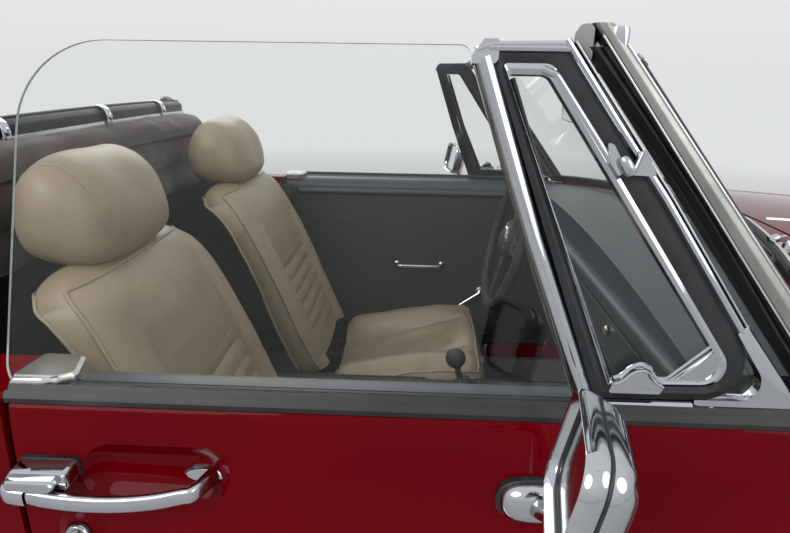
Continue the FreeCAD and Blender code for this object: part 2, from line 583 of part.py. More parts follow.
high_window = block(FRONT_AXLE - 80, FRONT_AXLE + 80, BAY - INNER, BAY + 2 * INNER, ARM_HIGH - 2 * INNER, ARM_HIGH + 3 * INNER)
front_house = fused([front_house, bay_wall]).cut(low_window).cut(high_window)
eye_z = SILL + 3.5 * INNER
eye_x = NOSE - 87
eye = block(eye_x - 28, eye_x + 27, BAY - 25, BAY - 25 + size("tow_eye_wall"), SILL + INNER, SILL + 6 * INNER)
eye = eye.cut(rod((eye_x, 0, eye_z), (eye_x, BAY, eye_z), size("tow_eye_radius")))
slam_panel = block(NOSE_SEAM - 3 * INNER, NOSE_SEAM, -LAMP_CLEAR, LAMP_CLEAR, SILL + 14 * INNER, SWAGE)
bonnet_cheeks = []
boot_cheeks = []
for way in (1, -1):
    bonnet_cheeks += hinge_cheeks(BULKHEAD, bonnet_edge + 5 * GAP, size("lid_hinge_half") * way)
    boot_cheeks += hinge_cheeks(boot_edge - 5 * GAP, wall_x, size("boot_hinge_half") * way)
rear_box = fused([rear_box] + boot_cheeks)
jack_x, jack_y, jack_half = size("jack_pad_x"), size("jack_pad_y"), size("jack_pad_half")
jack_pads = [block(jack_x - jack_half, jack_x + jack_half, jack_y * s - jack_half, jack_y * s + jack_half,
                   SILL - size("jack_pad_drop"), SILL + INNER / 2) for s in (1, -1)]
sub_part("floor_pan", fused([floor, bulkhead.common(HOLLOW).cut(tunnel_hole)] + bonnet_cheeks + jack_pads))
sub_part("rear_floor", rear_box)
sub_part("rear_wheel_tubs", Part.makeCompound([rear_tub.common(HOLLOW), mirrored(rear_tub).common(HOLLOW)]))
bay_sides = [front_house, mirrored(front_house), rail, mirrored(rail), eye, mirrored(eye)]
sub_part("engine_bay", fused(bay_sides + [slam_panel.common(HOLLOW)]))

# Engine with its gearbox bell, as one block, and the fuel tank.
engine = doc.addObject("Part::Box", "engine")
engine.Label = "engine"
engine.setExpression("Length", "sizes.engine_length")
engine.setExpression("Width", "sizes.engine_width")
engine.setExpression("Height", "sizes.engine_height")
engine.setExpression("Placement.Base.x", "sizes.engine_front - sizes.engine_length")
engine.setExpression("Placement.Base.y", "-sizes.engine_width / 2")
engine.setExpression("Placement.Base.z", "sizes.engine_base")
parts.append(engine)
tank = doc.addObject("Part::Box", "fuel_tank")
tank.Label = "fuel_tank"
tank.setExpression("Length", "sizes.tank_length")
tank.setExpression("Width", "sizes.tank_width")
tank.setExpression("Height", "sizes.tank_height")
tank.setExpression("Placement.Base.x", "sizes.boot_floor_front - sizes.tank_length")
tank.setExpression("Placement.Base.y", "-sizes.tank_width")
tank.setExpression("Placement.Base.z", "sizes.boot_floor - sizes.tank_height")
parts.append(tank)

# Front suspension: crossmember and wishbones, standing still.
KINGPIN = size("kingpin_half")
PIN_R = 14
cross = block(FRONT_AXLE - 70, FRONT_AXLE + 70, -BAY, BAY, SILL - 20, SILL + 6 * INNER)
cross = cross.cut(block(FRONT_AXLE - 55, FRONT_AXLE + 55, -FAR, FAR, SILL - 21, SILL + 4 * INNER))
front_arms = [cross]
for name, side in SIDES:
    for level, inner_y, spread in [(ARM_LOW, BAY - 70, 60), (ARM_HIGH, BAY - 70, 48)]:
        tip = Vector(FRONT_AXLE, KINGPIN * side, level)
        wishbone = [rod((FRONT_AXLE + spread * way, inner_y * side, level), tip, 11) for way in (-1, 1)]
        wishbone.append(rod(tip - Vector(0, 0, 12), tip + Vector(0, 0, 12), PIN_R + 8))
        bore = rod(tip - Vector(0, 0, FAR), tip + Vector(0, 0, FAR), PIN_R + SEATED)
        front_arms.append(fused(wishbone).cut(bore))
    tower = block(FRONT_AXLE - 70, FRONT_AXLE + 70, BAY - 90, BAY - 50, SILL + 40, ARM_HIGH + 40)
    front_arms.append(on_side(tower, side))
front_suspension = fused(front_arms)
sub_part("front_suspension", front_suspension)

# Knuckles: kingpin, stub axle and brake disc, which steer.
FLANGE = 16
for name, side in SIDES:
    post = rod((FRONT_AXLE, KINGPIN, ARM_LOW - 30), (FRONT_AXLE, KINGPIN, ARM_HIGH + 25), PIN_R)
    stub = rod((FRONT_AXLE, KINGPIN, TYRE_R), (FRONT_AXLE, HALF_TRACK + FLANGE - SEATED, TYRE_R), 26)
    disc_y = HALF_TRACK - 34
    disc = rod((FRONT_AXLE, disc_y, TYRE_R), (FRONT_AXLE, disc_y + 12, TYRE_R), size("brake_radius"))
    hub = rod((FRONT_AXLE, disc_y, TYRE_R), (FRONT_AXLE, HALF_TRACK + FLANGE - SEATED, TYRE_R), size("hub_radius"))
    sub_part(f"knuckle_{name}", on_side(fused([post, stub, disc, hub]), side))

# Rear axle: tube, differential, drums, half springs and propeller shaft.
axle_end = HALF_TRACK + FLANGE - SEATED
tube = rod((REAR_AXLE, -axle_end, TYRE_R), (REAR_AXLE, axle_end, TYRE_R), size("axle_radius"))
diff = Part.makeSphere(size("brake_radius") - 24, Vector(REAR_AXLE, 0, TYRE_R))
nose_piece = Part.makeCone(40, 85, 170, Vector(REAR_AXLE + 230, 0, TYRE_R), Vector(-1, 0, 0))
shaft = rod((REAR_AXLE + 200, 0, TYRE_R), (size("engine_front") - size("engine_length"), 0, TYRE_R), 26)
axle_parts = [tube, diff, nose_piece, shaft]
for name, side in SIDES:
    drum = rod((REAR_AXLE, HALF_TRACK - 60, TYRE_R), (REAR_AXLE, HALF_TRACK - 12, TYRE_R), size("brake_radius"))
    hub = rod((REAR_AXLE, HALF_TRACK - 20, TYRE_R), (REAR_AXLE, axle_end, TYRE_R), size("hub_radius"))
    axle_parts += [on_side(drum, side), on_side(hub, side)]
leaf_y = TUB_Y - 70
leaf = []
for x0, x1 in [(-size("spring_rear"), HEEL - INNER - REAR_AXLE)]:
    low = Vector(REAR_AXLE, leaf_y, TYRE_R - 60)
    a, b = Vector(REAR_AXLE + x0, leaf_y, TYRE_R - 20), Vector(REAR_AXLE + x1, leaf_y, TYRE_R - 40)
    c = Vector(REAR_AXLE + x0, leaf_y, TYRE_R + 10)
    under = Part.Arc(a, low - Vector(0, 0, 12), b).toShape()
    over = Part.Arc(c, low + Vector(0, 0, 24), b + Vector(0, 0, 30)).toShape()
    edges = [under, over, Part.LineSegment(a, c).toShape(), Part.LineSegment(b, b + Vector(0, 0, 30)).toShape()]
    leaf.append(Part.Face(Part.Wire(Part.__sortEdges__(edges))).extrude(Vector(0, 50, 0)))
shackle_x = REAR_AXLE - size("spring_rear")
shackle = block(shackle_x, shackle_x + 24, leaf_y + 4, leaf_y + 46, TYRE_R - 8, size("boot_floor"))
spring = fused([leaf[0], shackle])
sub_part("rear_axle", fused(axle_parts + [spring, mirrored(spring)]))

# Exhaust under the floor on the left, out past the tail.
PIPE = size("pipe_radius")
pipe_z = size("pipe_height")
route = [(size("engine_front") - 300, 215, size("engine_base") + 120), (BULKHEAD + 60, 190, pipe_z),
         (REAR_AXLE + 330, 190, pipe_z), (REAR_AXLE - 120, 230, pipe_z + 24), (REAR_AXLE - 330, 260, SILL + 50),
         (-HALF_LENGTH + 70, 260, SILL + 50)]
pipe_runs = [rod(route[i], route[i + 1], PIPE) for i in range(len(route) - 1)]
joints = [Part.makeSphere(PIPE, Vector(*p)) for p in route[1:-1]]
muffler = rod((REAR_AXLE - 360, 260, SILL + 50), (REAR_AXLE - 640, 260, SILL + 50), 62)
front_box = rod((-150, 190, pipe_z), (-450, 190, pipe_z), PIPE + 6)
sub_part("exhaust", fused(pipe_runs + joints + [muffler, front_box]))
# Doors, each a hollowed piece as thick as the whole door, with the slot that the glass drops into.
GLASS_Y = size("glass_line")
REAR_TAPER = 2 * GAP


def inset_polygon(points, distance):
    """A convex outline made smaller all round by distance."""
    count = len(points)
    turn = sum(points[i - 1][0] * points[i][1] - points[i][0] * points[i - 1][1] for i in range(count))
    sign = 1 if turn > 0 else -1
    lines = []
    for i in range(count):
        (x0, z0), (x1, z1) = points[i], points[(i + 1) % count]
        length = math.hypot(x1 - x0, z1 - z0)
        shift_x, shift_z = -(z1 - z0) / length * distance * sign, (x1 - x0) / length * distance * sign
        lines.append((x0 + shift_x, z0 + shift_z, x1 - x0, z1 - z0))
    inner = []
    for i in range(count):
        (x0, z0, dx0, dz0), (x1, z1, dx1, dz1) = lines[i - 1], lines[i]
        along = ((x1 - x0) * dz1 - (z1 - z0) * dx1) / (dx0 * dz1 - dz0 * dx1)
        inner.append((x0 + dx0 * along, z0 + dz0 * along))
    return inner


def leaned(shape):
    """A piece drawn flat at the glass line, leaned inward with the side glass."""
    shape = shape.copy()
    shape.rotate(Vector(0, GLASS_Y, WAIST), Vector(1, 0, 0), size("glass_lean"))
    return shape


GLASS_FOOT = WAIST - size("glass_depth")
BAR_SLOPE = (size("vent_base") - size("vent_top")) / (size("vent_height") - WAIST)
GLASS_HIP = WAIST + size("glass_rise")
REAR_SLOPE = (size("glass_rear_top") - size("glass_rear")) / (size("glass_top") - GLASS_HIP)


def glass_outline(back_off):
    """The side glass from the side, its foot in the door: points and corner radii."""
    foot, top = GLASS_FOOT + back_off, size("glass_top") - back_off
    front_foot = size("vent_base") - BAR_SLOPE * (foot - WAIST) - back_off
    front_top = size("vent_base") - BAR_SLOPE * (top - WAIST) - back_off
    rear_hip = size("glass_rear") + back_off
    rear_foot = rear_hip + 5 * GAP
    rear_top = rear_hip + REAR_SLOPE * (top - GLASS_HIP)
    return [(rear_foot, foot), (front_foot, foot), (front_top, top), (rear_top, top), (rear_hip, GLASS_HIP)]


half_glass = size("glass_wall") / 2
glass_corners = [0, 0, 10, size("glass_corner"), 40]
side_glass = leaned(polygon_prism(glass_outline(SEATED), "xz", GLASS_Y - half_glass, GLASS_Y + half_glass, glass_corners))
slot_low, slot_high = GLASS_Y - half_glass - SEATED, GLASS_Y + half_glass + SEATED
glass_slot = leaned(polygon_prism(glass_outline(0), "xz", slot_low, slot_high, [0, 0, 0, 0, 40]))

door = OUTER.common(door_prism(GAP, DOOR_FACE, FAR))
points, radii = door_outline(GAP)
lean_top = points[4][0] - (points[3][0] - points[4][0]) * GAP / (WAIST - SWAGE)
behind = [(points[2][0] + REAR_TAPER, 0), (points[2][0] + REAR_TAPER, points[2][1]), (points[3][0] + REAR_TAPER, SWAGE),
          (lean_top + REAR_TAPER, WAIST + GAP), (-FAR, WAIST + GAP), (-FAR, 0)]
outline = [Vector(x, DOOR_FACE, z) for x, z in behind]
wedge = Part.Face(Part.makePolygon(outline + outline[:1])).extrude(Vector(-REAR_TAPER, WIDE - DOOR_FACE, 0))
top_r = size("door_top_radius")
top_edge = block(-FAR, FAR, DOOR_FACE - 1, DOOR_FACE + top_r, WAIST - top_r, WAIST + GAP)
top_edge = top_edge.cut(rod((-FAR, DOOR_FACE + top_r, WAIST - top_r), (FAR, DOOR_FACE + top_r, WAIST - top_r), top_r))
door = door.cut(wedge).cut(glass_slot).cut(top_edge)
dish_r = (size("recess_half") ** 2 + size("recess_depth") ** 2) / (2 * size("recess_depth"))
dish_run = size("recess_length") / 2 - size("recess_half")
skin_lean = (WIDE - WAIST_Y) / (WAIST - SHOULDER - SWAGE)
skin_y = WAIST_Y + skin_lean * (WAIST - SHOULDER - size("handle_height")) + UPPER_BULGE / 2
dish_ends = [Vector(size("recess_x") + s * dish_run, skin_y - size("recess_depth") + dish_r, size("handle_height"))
             for s in (-1, 1)]
dish = fused([rod(dish_ends[0], dish_ends[1], dish_r)] + [Part.makeSphere(dish_r, end) for end in dish_ends])
door = door.cut(dish).cut(hinge_knuckles(SEATED))
for name, side in SIDES:
    sub_part(f"door_{name}", on_side(door, side))
sub_part("side_glass_right", mirrored(side_glass))

# Quarter lights: a broad chrome frame with its own pane, standing on the door.
vent_points = [(size("vent_base"), WAIST), (size("vent_tip"), WAIST), (size("vent_top_front"), size("vent_height")),
               (size("vent_top"), size("vent_height"))]
FRONT_SLOPE = (size("vent_tip") - size("vent_top_front")) / (size("vent_height") - WAIST)
low_vent = [(size("vent_base") + BAR_SLOPE * GAP, WAIST - GAP), (size("vent_tip") + FRONT_SLOPE * GAP, WAIST - GAP)]
low_vent += vent_points[2:]
half_vent = size("vent_depth") / 2
vent_frame = polygon_prism(low_vent, "xz", GLASS_Y - half_vent, GLASS_Y + half_vent, [0, 0, 16, 8])
pane = inset_polygon(vent_points, size("vent_bar"))
pane_corners = [10, 6, 12, 12]
vent_frame = vent_frame.cut(polygon_prism(pane, "xz", GLASS_Y - WIDE, GLASS_Y + WIDE, pane_corners))
vent_glass = leaned(polygon_prism(pane, "xz", GLASS_Y - half_glass, GLASS_Y + half_glass, pane_corners))
vent_frame = leaned(vent_frame).cut(block(-FAR, FAR, 0, FAR, 0, WAIST))
for name, side in SIDES:
    sub_part(f"quarter_light_frame_{name}", on_side(vent_frame, side))
    sub_part(f"quarter_glass_{name}", on_side(vent_glass, side))

# Door handles and mirrors on the door skins.
handle_z, handle_y, tall = size("handle_height"), size("handle_reach"), size("handle_tall")
h_front, h_rear = size("handle_front"), size("handle_rear")
grip = [(h_front, GLASS_Y), (h_front, handle_y - 14), (h_front - 18, handle_y), (h_rear + 14, handle_y),
        (h_rear, handle_y - 12), (h_rear, GLASS_Y), (h_rear + 46, GLASS_Y), (h_rear + 46, handle_y - 16),
        (h_front - 30, handle_y - 16), (h_front - 24, GLASS_Y)]
handle = polygon_prism(grip, "xy", handle_z - tall / 2, handle_z + tall / 2, [0, 6, 10, 8, 6, 0, 0, 5, 8, 0])
handle = handle.cut(OUTER)
mirror_x, mirror_y, mirror_z = size("mirror_x"), size("mirror_half"), size("mirror_height")
foot_z = WAIST - 82
foot = polygon_prism([(mirror_x - 28, foot_z - 24), (mirror_x + 44, foot_z - 24), (mirror_x + 44, foot_z + 24),
                      (mirror_x - 28, foot_z + 24)], "xz", GLASS_Y, WIDE - 4, [22, 22, 22, 22])
stem = rod((mirror_x + 14, WIDE - 30, foot_z), (mirror_x + 22, mirror_y - 20, mirror_z - 20), 12)
half_w, half_h = size("mirror_width") / 2, size("mirror_tall") / 2
rim_line = [(-half_w, -half_h), (-half_w, half_h * 0.9), (half_w * 0.92, half_h), (half_w, -half_h * 0.9)]
rings = []
for x, grow in [(0, 1.0), (size("mirror_shell") / 2, 0.95), (size("mirror_shell"), 0.55)]:
    faces = polygon_prism([(y * grow, z * grow) for y, z in rim_line], "yz", x, x + 1, 28 * grow).Faces
    rings.append(min(faces, key=lambda face: face.CenterOfMass.x).OuterWire)
well = polygon_prism([(y * 0.92, z * 0.92) for y, z in rim_line], "yz", -GAP, GAP, 24)
head = Part.makeLoft(rings, True, True).cut(well)
head.rotate(Vector(0, 0, 0), Vector(0, 1, 0), size("mirror_tilt"))
head.rotate(Vector(0, 0, 0), Vector(0, 0, 1), size("mirror_toe"))
head.translate(Vector(mirror_x, mirror_y, mirror_z))
mirror = fused([foot, stem.cut(head), head]).cut(OUTER)
for name, side in SIDES:
    sub_part(f"door_handle_{name}", on_side(handle, side))
    sub_part(f"door_mirror_{name}", on_side(mirror, side))

# Windscreen: a bowed frame that stands on the scuttle, and its glass.
HEADER = size("header_height")


def screen_level(height, rear_off, depth):
    """The windscreen's section at one height: a band that bows forward, rear_off ahead of its rear face."""
    share = (height - WAIST) / (HEADER - WAIST)
    x = size("screen_foot") + (size("header_corner") - size("screen_foot")) * share + rear_off
    y = size("screen_half") + (size("header_half") - size("screen_half")) * share
    bow = size("screen_bow") + (size("header_bow") - size("screen_bow")) * share
    rear = Part.Arc(Vector(x, -y, height), Vector(x + bow, 0, height), Vector(x, y, height)).toShape()
    ahead = Part.Arc(
        Vector(x + depth, -y, height), Vector(x + bow + depth, 0, height), Vector(x + depth, y, height)).toShape()
    ends = [Part.LineSegment(Vector(x, s * y, height), Vector(x + depth, s * y, height)).toShape() for s in (1, -1)]
    return Part.Wire(Part.__sortEdges__([rear, ahead] + ends))


def screen_slab(foot, head):
    """The windscreen as a slab from below the scuttle's edge to the header, given offset and depth at each end."""
    return Part.makeLoft([screen_level(WAIST - 2 * GAP, *foot), screen_level(HEADER, *head)], True, True)


low_half = size("screen_half") - size("pillar_width")
top_half = size("header_half") - size("pillar_width")
sight_low, sight_top = WAIST + 3 * GAP, HEADER - size("header_depth")
base_arc = Part.Arc(Vector(0, -low_half, sight_low), Vector(0, 0, DECK + 4 * GAP), Vector(0, low_half, sight_low))
sight = [Vector(0, low_half, sight_low), Vector(0, top_half, sight_top), Vector(0, -top_half, sight_top),
         Vector(0, -low_half, sight_low)]
sight_edges = [base_arc.toShape()] + [Part.LineSegment(sight[i], sight[i + 1]).toShape() for i in range(3)]
sight_prism = Part.Face(Part.Wire(Part.__sortEdges__(sight_edges))).extrude(Vector(FAR, 0, 0))
PILLAR, RAIL, PANE = size("pillar_depth"), size("rail_depth"), size("screen_glass")
over_door = block(-FAR, DOOR_FRONT + GAP, -FAR, FAR, 0, WAIST + GAP)
screen_frame = screen_slab((0, PILLAR), (0, RAIL)).cut(sight_prism).cut(OUTER).cut(over_door)
sub_part("windscreen_frame", screen_frame)
pane_slab = screen_slab(((PILLAR - PANE) / 2, PANE), ((RAIL - PANE) / 2, PANE))
sub_part("windscreen_glass", pane_slab.common(sight_prism))
visor_depth = 130
visors = []
for y in (110, -110):
    y0, y1 = min(y, y * 4), max(y, y * 4)
    visor = block(size("header_corner") - 12, size("header_corner") + size("header_bow"), y0, y1, HEADER - 22, HEADER - 6)
    visors.append(visor.cut(screen_slab((0, FAR), (0, FAR))).cut(block(-FAR, size("header_corner") + 148 - visor_depth, 0, 1, 0, 1)))
sub_part("sun_visors", Part.makeCompound(visors))


def screen_front(y, height):
    """A point on the windscreen's outer face."""
    share = (height - WAIST) / (HEADER - WAIST)
    x = size("screen_foot") + (size("header_corner") - size("screen_foot")) * share
    half = size("screen_half") + (size("header_half") - size("screen_half")) * share
    bow = size("screen_bow") + (size("header_bow") - size("screen_bow")) * share
    ahead = (PILLAR + (RAIL - PILLAR) * share + PANE) / 2
    return Vector(x + bow * (1 - (y / half) ** 2) + ahead, y, height)


WIPER_OFF = Vector(4 * GAP, 0, GAP)
wipers = []
for pivot_y in (-300, 90):
    foot = Vector(screen_front(pivot_y, DECK).x + 7 * GAP, pivot_y, DECK - 20)
    post = rod(foot, foot + Vector(0, 0, 30), 9)
    reach = pivot_y - 150
    tip = screen_front(reach, DECK + 66) + WIPER_OFF
    arm = rod(foot + Vector(0, 0, 26), tip, 4)
    blade_a, blade_b = screen_front(reach - 110, DECK + 60), screen_front(reach + 150, DECK + 56)
    blade = rod(blade_a + WIPER_OFF, blade_b + WIPER_OFF, 5)
    wipers.append(fused([post, arm, blade]).cut(OUTER))
sub_part("wipers", Part.makeCompound(wipers))

# Dashboard under the scuttle, with the hole for the steering column.
COLUMN_DIR = Vector(-math.cos(math.radians(size("column_rake"))), 0, math.sin(math.radians(size("column_rake"))))
HUB = Vector(size("wheel_hub_x"), size("seat_centre"), size("wheel_hub_height"))
floor_front = size("floor_front")
column_end = HUB - COLUMN_DIR * ((floor_front - size("column_radius") - HUB.x) / -COLUMN_DIR.x)
dash_rear, dash_bottom = size("dash_rear"), size("dash_bottom")
dash_points = [(dash_rear + 30, dash_bottom), (dash_rear + 12, WAIST - 90), (dash_rear, WAIST - 50), (dash_rear, DECK + 60),
               (floor_front, DECK + 60), (floor_front, WAIST - 70), (dash_rear + 110, dash_bottom)]
dash = polygon_prism(dash_points, "xz", -DOOR_FACE + 2 * GAP, DOOR_FACE - 2 * GAP, [18, 20, 20, 0, 0, 30, 30])
dash = dash.common(HOLLOW)
dash = dash.cut(rod(HUB, column_end - COLUMN_DIR * 60, size("column_radius") + SEATED))
sub_part("dashboard", dash)

# Steering wheel and column, which turn together.
RIM_R, RIM_T = size("steering_radius"), size("steering_rim")
wheel_rim = Part.makeTorus(RIM_R, RIM_T)
hub_disc = Part.makeCone(46, 30, 34, Vector(0, 0, -26))
spokes = []
for angle in (0, 180, 270):
    spoke = polygon_prism([(20, -26), (RIM_R - 4, -15), (RIM_R - 4, 15), (20, 26)], "xy", -6, -2)
    hole = Part.makeCylinder(9, 40, Vector(RIM_R * 0.5, 0, -20))
    spoke = spoke.cut(hole)
    spoke.rotate(Vector(0, 0, 0), Vector(0, 0, 1), angle)
    spokes.append(spoke)
column = Part.makeCylinder(size("column_radius"), (HUB - column_end).Length - 20, Vector(0, 0, -(HUB - column_end).Length))
wheel = fused([wheel_rim, hub_disc, column] + spokes)
seat_turn = Rotation(Vector(0, 0, 1), COLUMN_DIR)
steering_wheel = sub_part("steering_wheel", wheel)
steering_wheel.Placement = Placement(HUB, seat_turn)

# Seats: runners on the floor, cushions, backs and head restraints.
LEAN = size("back_lean")
SLOPE = math.tan(math.radians(LEAN))
runner_top = FLOOR_TOP + size("seat_runner")
half_seat = size("seat_width") / 2
cushion_base = runner_top + SEATED
back_x = size("back_foot")
cushion_rear = cushion_base + size("cushion_top") - cushion_base - size("cushion_dip")
cushion_points = [(size("cushion_front") - 30, cushion_base), (size("cushion_front"), size("cushion_top")),
                  (back_x + 1 - SLOPE * (cushion_rear - cushion_base), cushion_rear), (back_x + 1, cushion_base)]
cushion_corners = [20, size("cushion_roll"), 20, 0]
back_height = (size("back_top") - cushion_base) / math.cos(math.radians(LEAN))
seats = {"seat_runners": [], "seat_cushions": [], "seat_backs": [], "headrests": []}
for name, side in SIDES:
    mid = size("seat_centre") * side
    seats["seat_cushions"].append(
        polygon_prism(cushion_points, "xz", mid - half_seat, mid + half_seat, cushion_corners))
    for way in (-1, 1):
        y = mid + way * (half_seat - 60)
        runner_rear = back_x - size("back_wall") / math.cos(math.radians(LEAN))
        seats["seat_runners"].append(block(runner_rear, size("cushion_front") - 60, y - 18, y + 18, FLOOR_TOP, runner_top))
    shape = [(mid - half_seat, -60), (mid + half_seat, -60), (mid + half_seat, back_height), (mid - half_seat, back_height)]
    back = polygon_prism(shape, "yz", -size("back_wall"), 0, [0, 0, 90, 90])
    pad_half = size("headrest_width") / 2
    pad_base = back_height + SEATED
    pad_top = pad_base + size("headrest_height")
    shape = [(mid - pad_half, pad_base), (mid + pad_half, pad_base), (mid + pad_half, pad_top), (mid - pad_half, pad_top)]
    rest = polygon_prism(shape, "yz", -size("headrest_wall"), 0, 44)
    for piece, key in [(back, "seat_backs"), (rest, "headrests")]:
        piece.rotate(Vector(0, 0, 0), Vector(0, 1, 0), -LEAN)
        piece.translate(Vector(back_x, 0, cushion_base))
        seats[key].append(piece.cut(block(-FAR, FAR, -FAR, FAR, 0, cushion_base)))
for key, shapes in seats.items():
    sub_part(key, Part.makeCompound(shapes))

# Gear lever and handbrake on the tunnel.
tunnel_top = size("tunnel_top")
gear = [rod((149, 0, tunnel_top + 4), (120, 0, tunnel_top + 105), 7), Part.makeSphere(22, Vector(118, 0, tunnel_top + 120)),
        Part.makeCone(48, 14, 46, Vector(150, 0, tunnel_top))]
brake_base = block(-190, -150, -60, -40, tunnel_top, tunnel_top + 40)
brake = [brake_base, rod((-170, -50, tunnel_top + 26), (60, -50, tunnel_top + 60), 10)]
sub_part("hand_controls", Part.makeCompound([fused(gear), fused(brake)]))

# Folded roof behind the seats: its bars stand on the shelf and hold the folded cloth.
hood_front, hood_rear = size("hood_front"), size("cockpit_rear") + GAP
hood_half, hood_top, hood_foot = size("hood_half"), size("hood_top"), size("hood_foot")
middle = (hood_front + hood_rear) / 2
bundle_points = [(hood_front, hood_foot), (hood_front - 8, hood_top - 90), (middle + 10, hood_top), (middle - 50, hood_top),
                 (hood_rear, hood_top - 120), (hood_rear, hood_foot)]
bundle = polygon_prism(bundle_points, "xz", -hood_half, hood_half, [30, 40, 18, 26, 40, 30])
sub_part("folded_roof", bundle)
bar = 9
frame_bars = []
for name, side in SIDES:
    y = (hood_half + bar + SEATED) * side
    leg_y = (TUB_Y - 4 * bar) * side
    frame_bars.append(rod((middle, leg_y, SHELF + INNER), (middle, leg_y, hood_foot - 30), bar))
    frame_bars.append(rod((middle, y, hood_foot - 30), (middle - 30, y, hood_top - 60), bar))
    frame_bars.append(Part.makeSphere(bar, Vector(middle, y, hood_foot - 30)))
cross_z = hood_foot - bar - SEATED - 20
frame_bars.append(rod((middle, -(hood_half + bar), cross_z), (middle, hood_half + bar, cross_z), bar))
rest_bar = block(middle - 14, middle + 14, -hood_half + 60, hood_half - 60, cross_z, hood_foot - SEATED)
frame_bars.append(rest_bar)
sub_part("roof_frame", fused(frame_bars))

# Grille: a frame in the nose with upright slats.
G = {key: size(f"grille_{key}") for key in ("half", "bottom", "top", "corner", "frame")}
g_front, g_back = NOSE + INNER - 4, NOSE - SKIN
mouth = [(-G["half"], G["bottom"]), (G["half"], G["bottom"]), (G["half"], G["top"]), (-G["half"], G["top"])]
ring = polygon_prism(mouth, "yz", g_back, g_front, G["corner"])
hole = inset_polygon(mouth, G["frame"])
ring = ring.cut(polygon_prism(hole, "yz", g_back - 1, g_front + 1, G["corner"] - G["frame"]))
pitch, slat = size("slat_pitch"), size("slat_width")
count = int((2 * G["half"] - 2 * G["frame"]) / pitch / 2)
slats = []
for i in range(-count, count + 1):
    y = i * pitch
    slat_back = g_front - size("slat_depth")
    slats.append(block(slat_back, g_front - 4, y - slat / 2, y + slat / 2, G["bottom"] + 4, G["top"] - 4))
sub_part("grille", ring.multiFuse(slats))

# Lamps.
head_lamps = []
for y, z in LAMP_PLACES:
    front = size("lamp_front")
    shell_back = bucket_start + SKIN
    cone = Part.makeCone(size("lamp_ring") * 0.55, size("lamp_ring") * 0.92, front - 18 - shell_back, Vector(shell_back, y, z), Vector(1, 0, 0))
    ring_piece = rod((front - 18, y, z), (front, y, z), size("lamp_ring"))
    ring_piece = ring_piece.cut(rod((front - 6, y, z), (front + 1, y, z), size("lamp_radius")))
    bulge = 20
    dome_r = (size("lamp_radius") ** 2 + bulge ** 2) / (2 * bulge)
    dome = Part.makeSphere(dome_r, Vector(front - 6 + bulge - dome_r, y, z)).common(rod((front - 6, y, z), (front + 40, y, z), size("lamp_radius")))
    head_lamps.append(fused([cone, ring_piece, dome]))
sub_part("headlamps", Part.makeCompound(head_lamps))
side_lamp = polygon_prism([(420, 560), (520, 560), (520, 610), (420, 610)], "yz", NOSE - 30, NOSE + 22, 14)
tail_lamp = polygon_prism([(500, SWAGE - 40), (582, SWAGE - 40), (582, SWAGE + 96), (500, SWAGE + 96)], "yz", -NOSE + 40, -NOSE - 18, 20)
side_lamp, tail_lamp = side_lamp.cut(OUTER), tail_lamp.cut(OUTER)
sub_part("side_lamps", Part.makeCompound([side_lamp, mirrored(side_lamp)]))
sub_part("tail_lamps", Part.makeCompound([tail_lamp, mirrored(tail_lamp)]))

# Bumpers: a crowned blade bowed round the end, wrapped at its corners, with overriders and brackets.
CURVE, REACH, CORNER = size("bumper_curve"), size("bumper_reach"), size("bumper_corner")
CROWN, BLADE = size("bumper_crown"), size("bumper_wall")
half_blade, mid_z = size("bumper_depth") / 2, size("bumper_height")


def blade_face(apex):
    """The bumper blade's crowned section with its outermost point at apex."""
    edge, inner = apex - CROWN, apex - CROWN - BLADE
    outer_arc = Part.Arc(Vector(edge, 0, mid_z - half_blade), Vector(apex, 0, mid_z), Vector(edge, 0, mid_z + half_blade))
    inner_arc = Part.Arc(Vector(inner, 0, mid_z - half_blade), Vector(apex - BLADE, 0, mid_z), Vector(inner, 0, mid_z + half_blade))
    lips = [Part.LineSegment(Vector(edge, 0, mid_z + s * half_blade), Vector(inner, 0, mid_z + s * half_blade)).toShape() for s in (1, -1)]
    return Part.Face(Part.Wire(Part.__sortEdges__([outer_arc.toShape(), inner_arc.toShape()] + lips)))


centre = Vector(HALF_LENGTH - CURVE, 0, 0)
up = Vector(0, 0, 1)
face = blade_face(HALF_LENGTH)
face.rotate(centre, up, -REACH)
blade = face.revolve(centre, up, 2 * REACH)
pieces = [blade]
end_face = blade_face(HALF_LENGTH)
end_face.rotate(centre, up, REACH)
out = Vector(math.cos(math.radians(REACH)), math.sin(math.radians(REACH)), 0)
wrap = end_face.revolve(centre + out * (CURVE - CORNER), up, 78 - REACH)
pieces += [wrap, mirrored(wrap)]
rider = polygon_prism([(HALF_LENGTH - 44, mid_z - 74), (HALF_LENGTH - 16, mid_z - 74), (HALF_LENGTH, mid_z - 40), (HALF_LENGTH, mid_z + 46), (HALF_LENGTH - 16, mid_z + 78), (HALF_LENGTH - 44, mid_z + 78)], "xz", size("overrider_half") - 24, size("overrider_half") + 24, [4, 12, 30, 30, 12, 4])
rider = rider.cut(block(0, HALF_LENGTH - 30, -FAR, FAR, mid_z - half_blade, mid_z + half_blade))
bracket = block(NOSE, HALF_LENGTH - 24, size("overrider_half") - 16, size("overrider_half") + 16, mid_z - 24, mid_z + 24)
pieces += [rider, mirrored(rider), bracket, mirrored(bracket)]
bumper = fused(pieces)
sub_part("bumper_front", bumper)
sub_part("bumper_rear", bumper.mirror(Vector(0, 0, 0), Vector(1, 0, 0)))


# Wheels: a tyre and a slotted rim at each corner, turned about the axle.
def origin_plane(body, role):
    """One of a body's own origin planes."""
    return [o for o in body.Origin.OriginFeatures if o.Role == role][0]


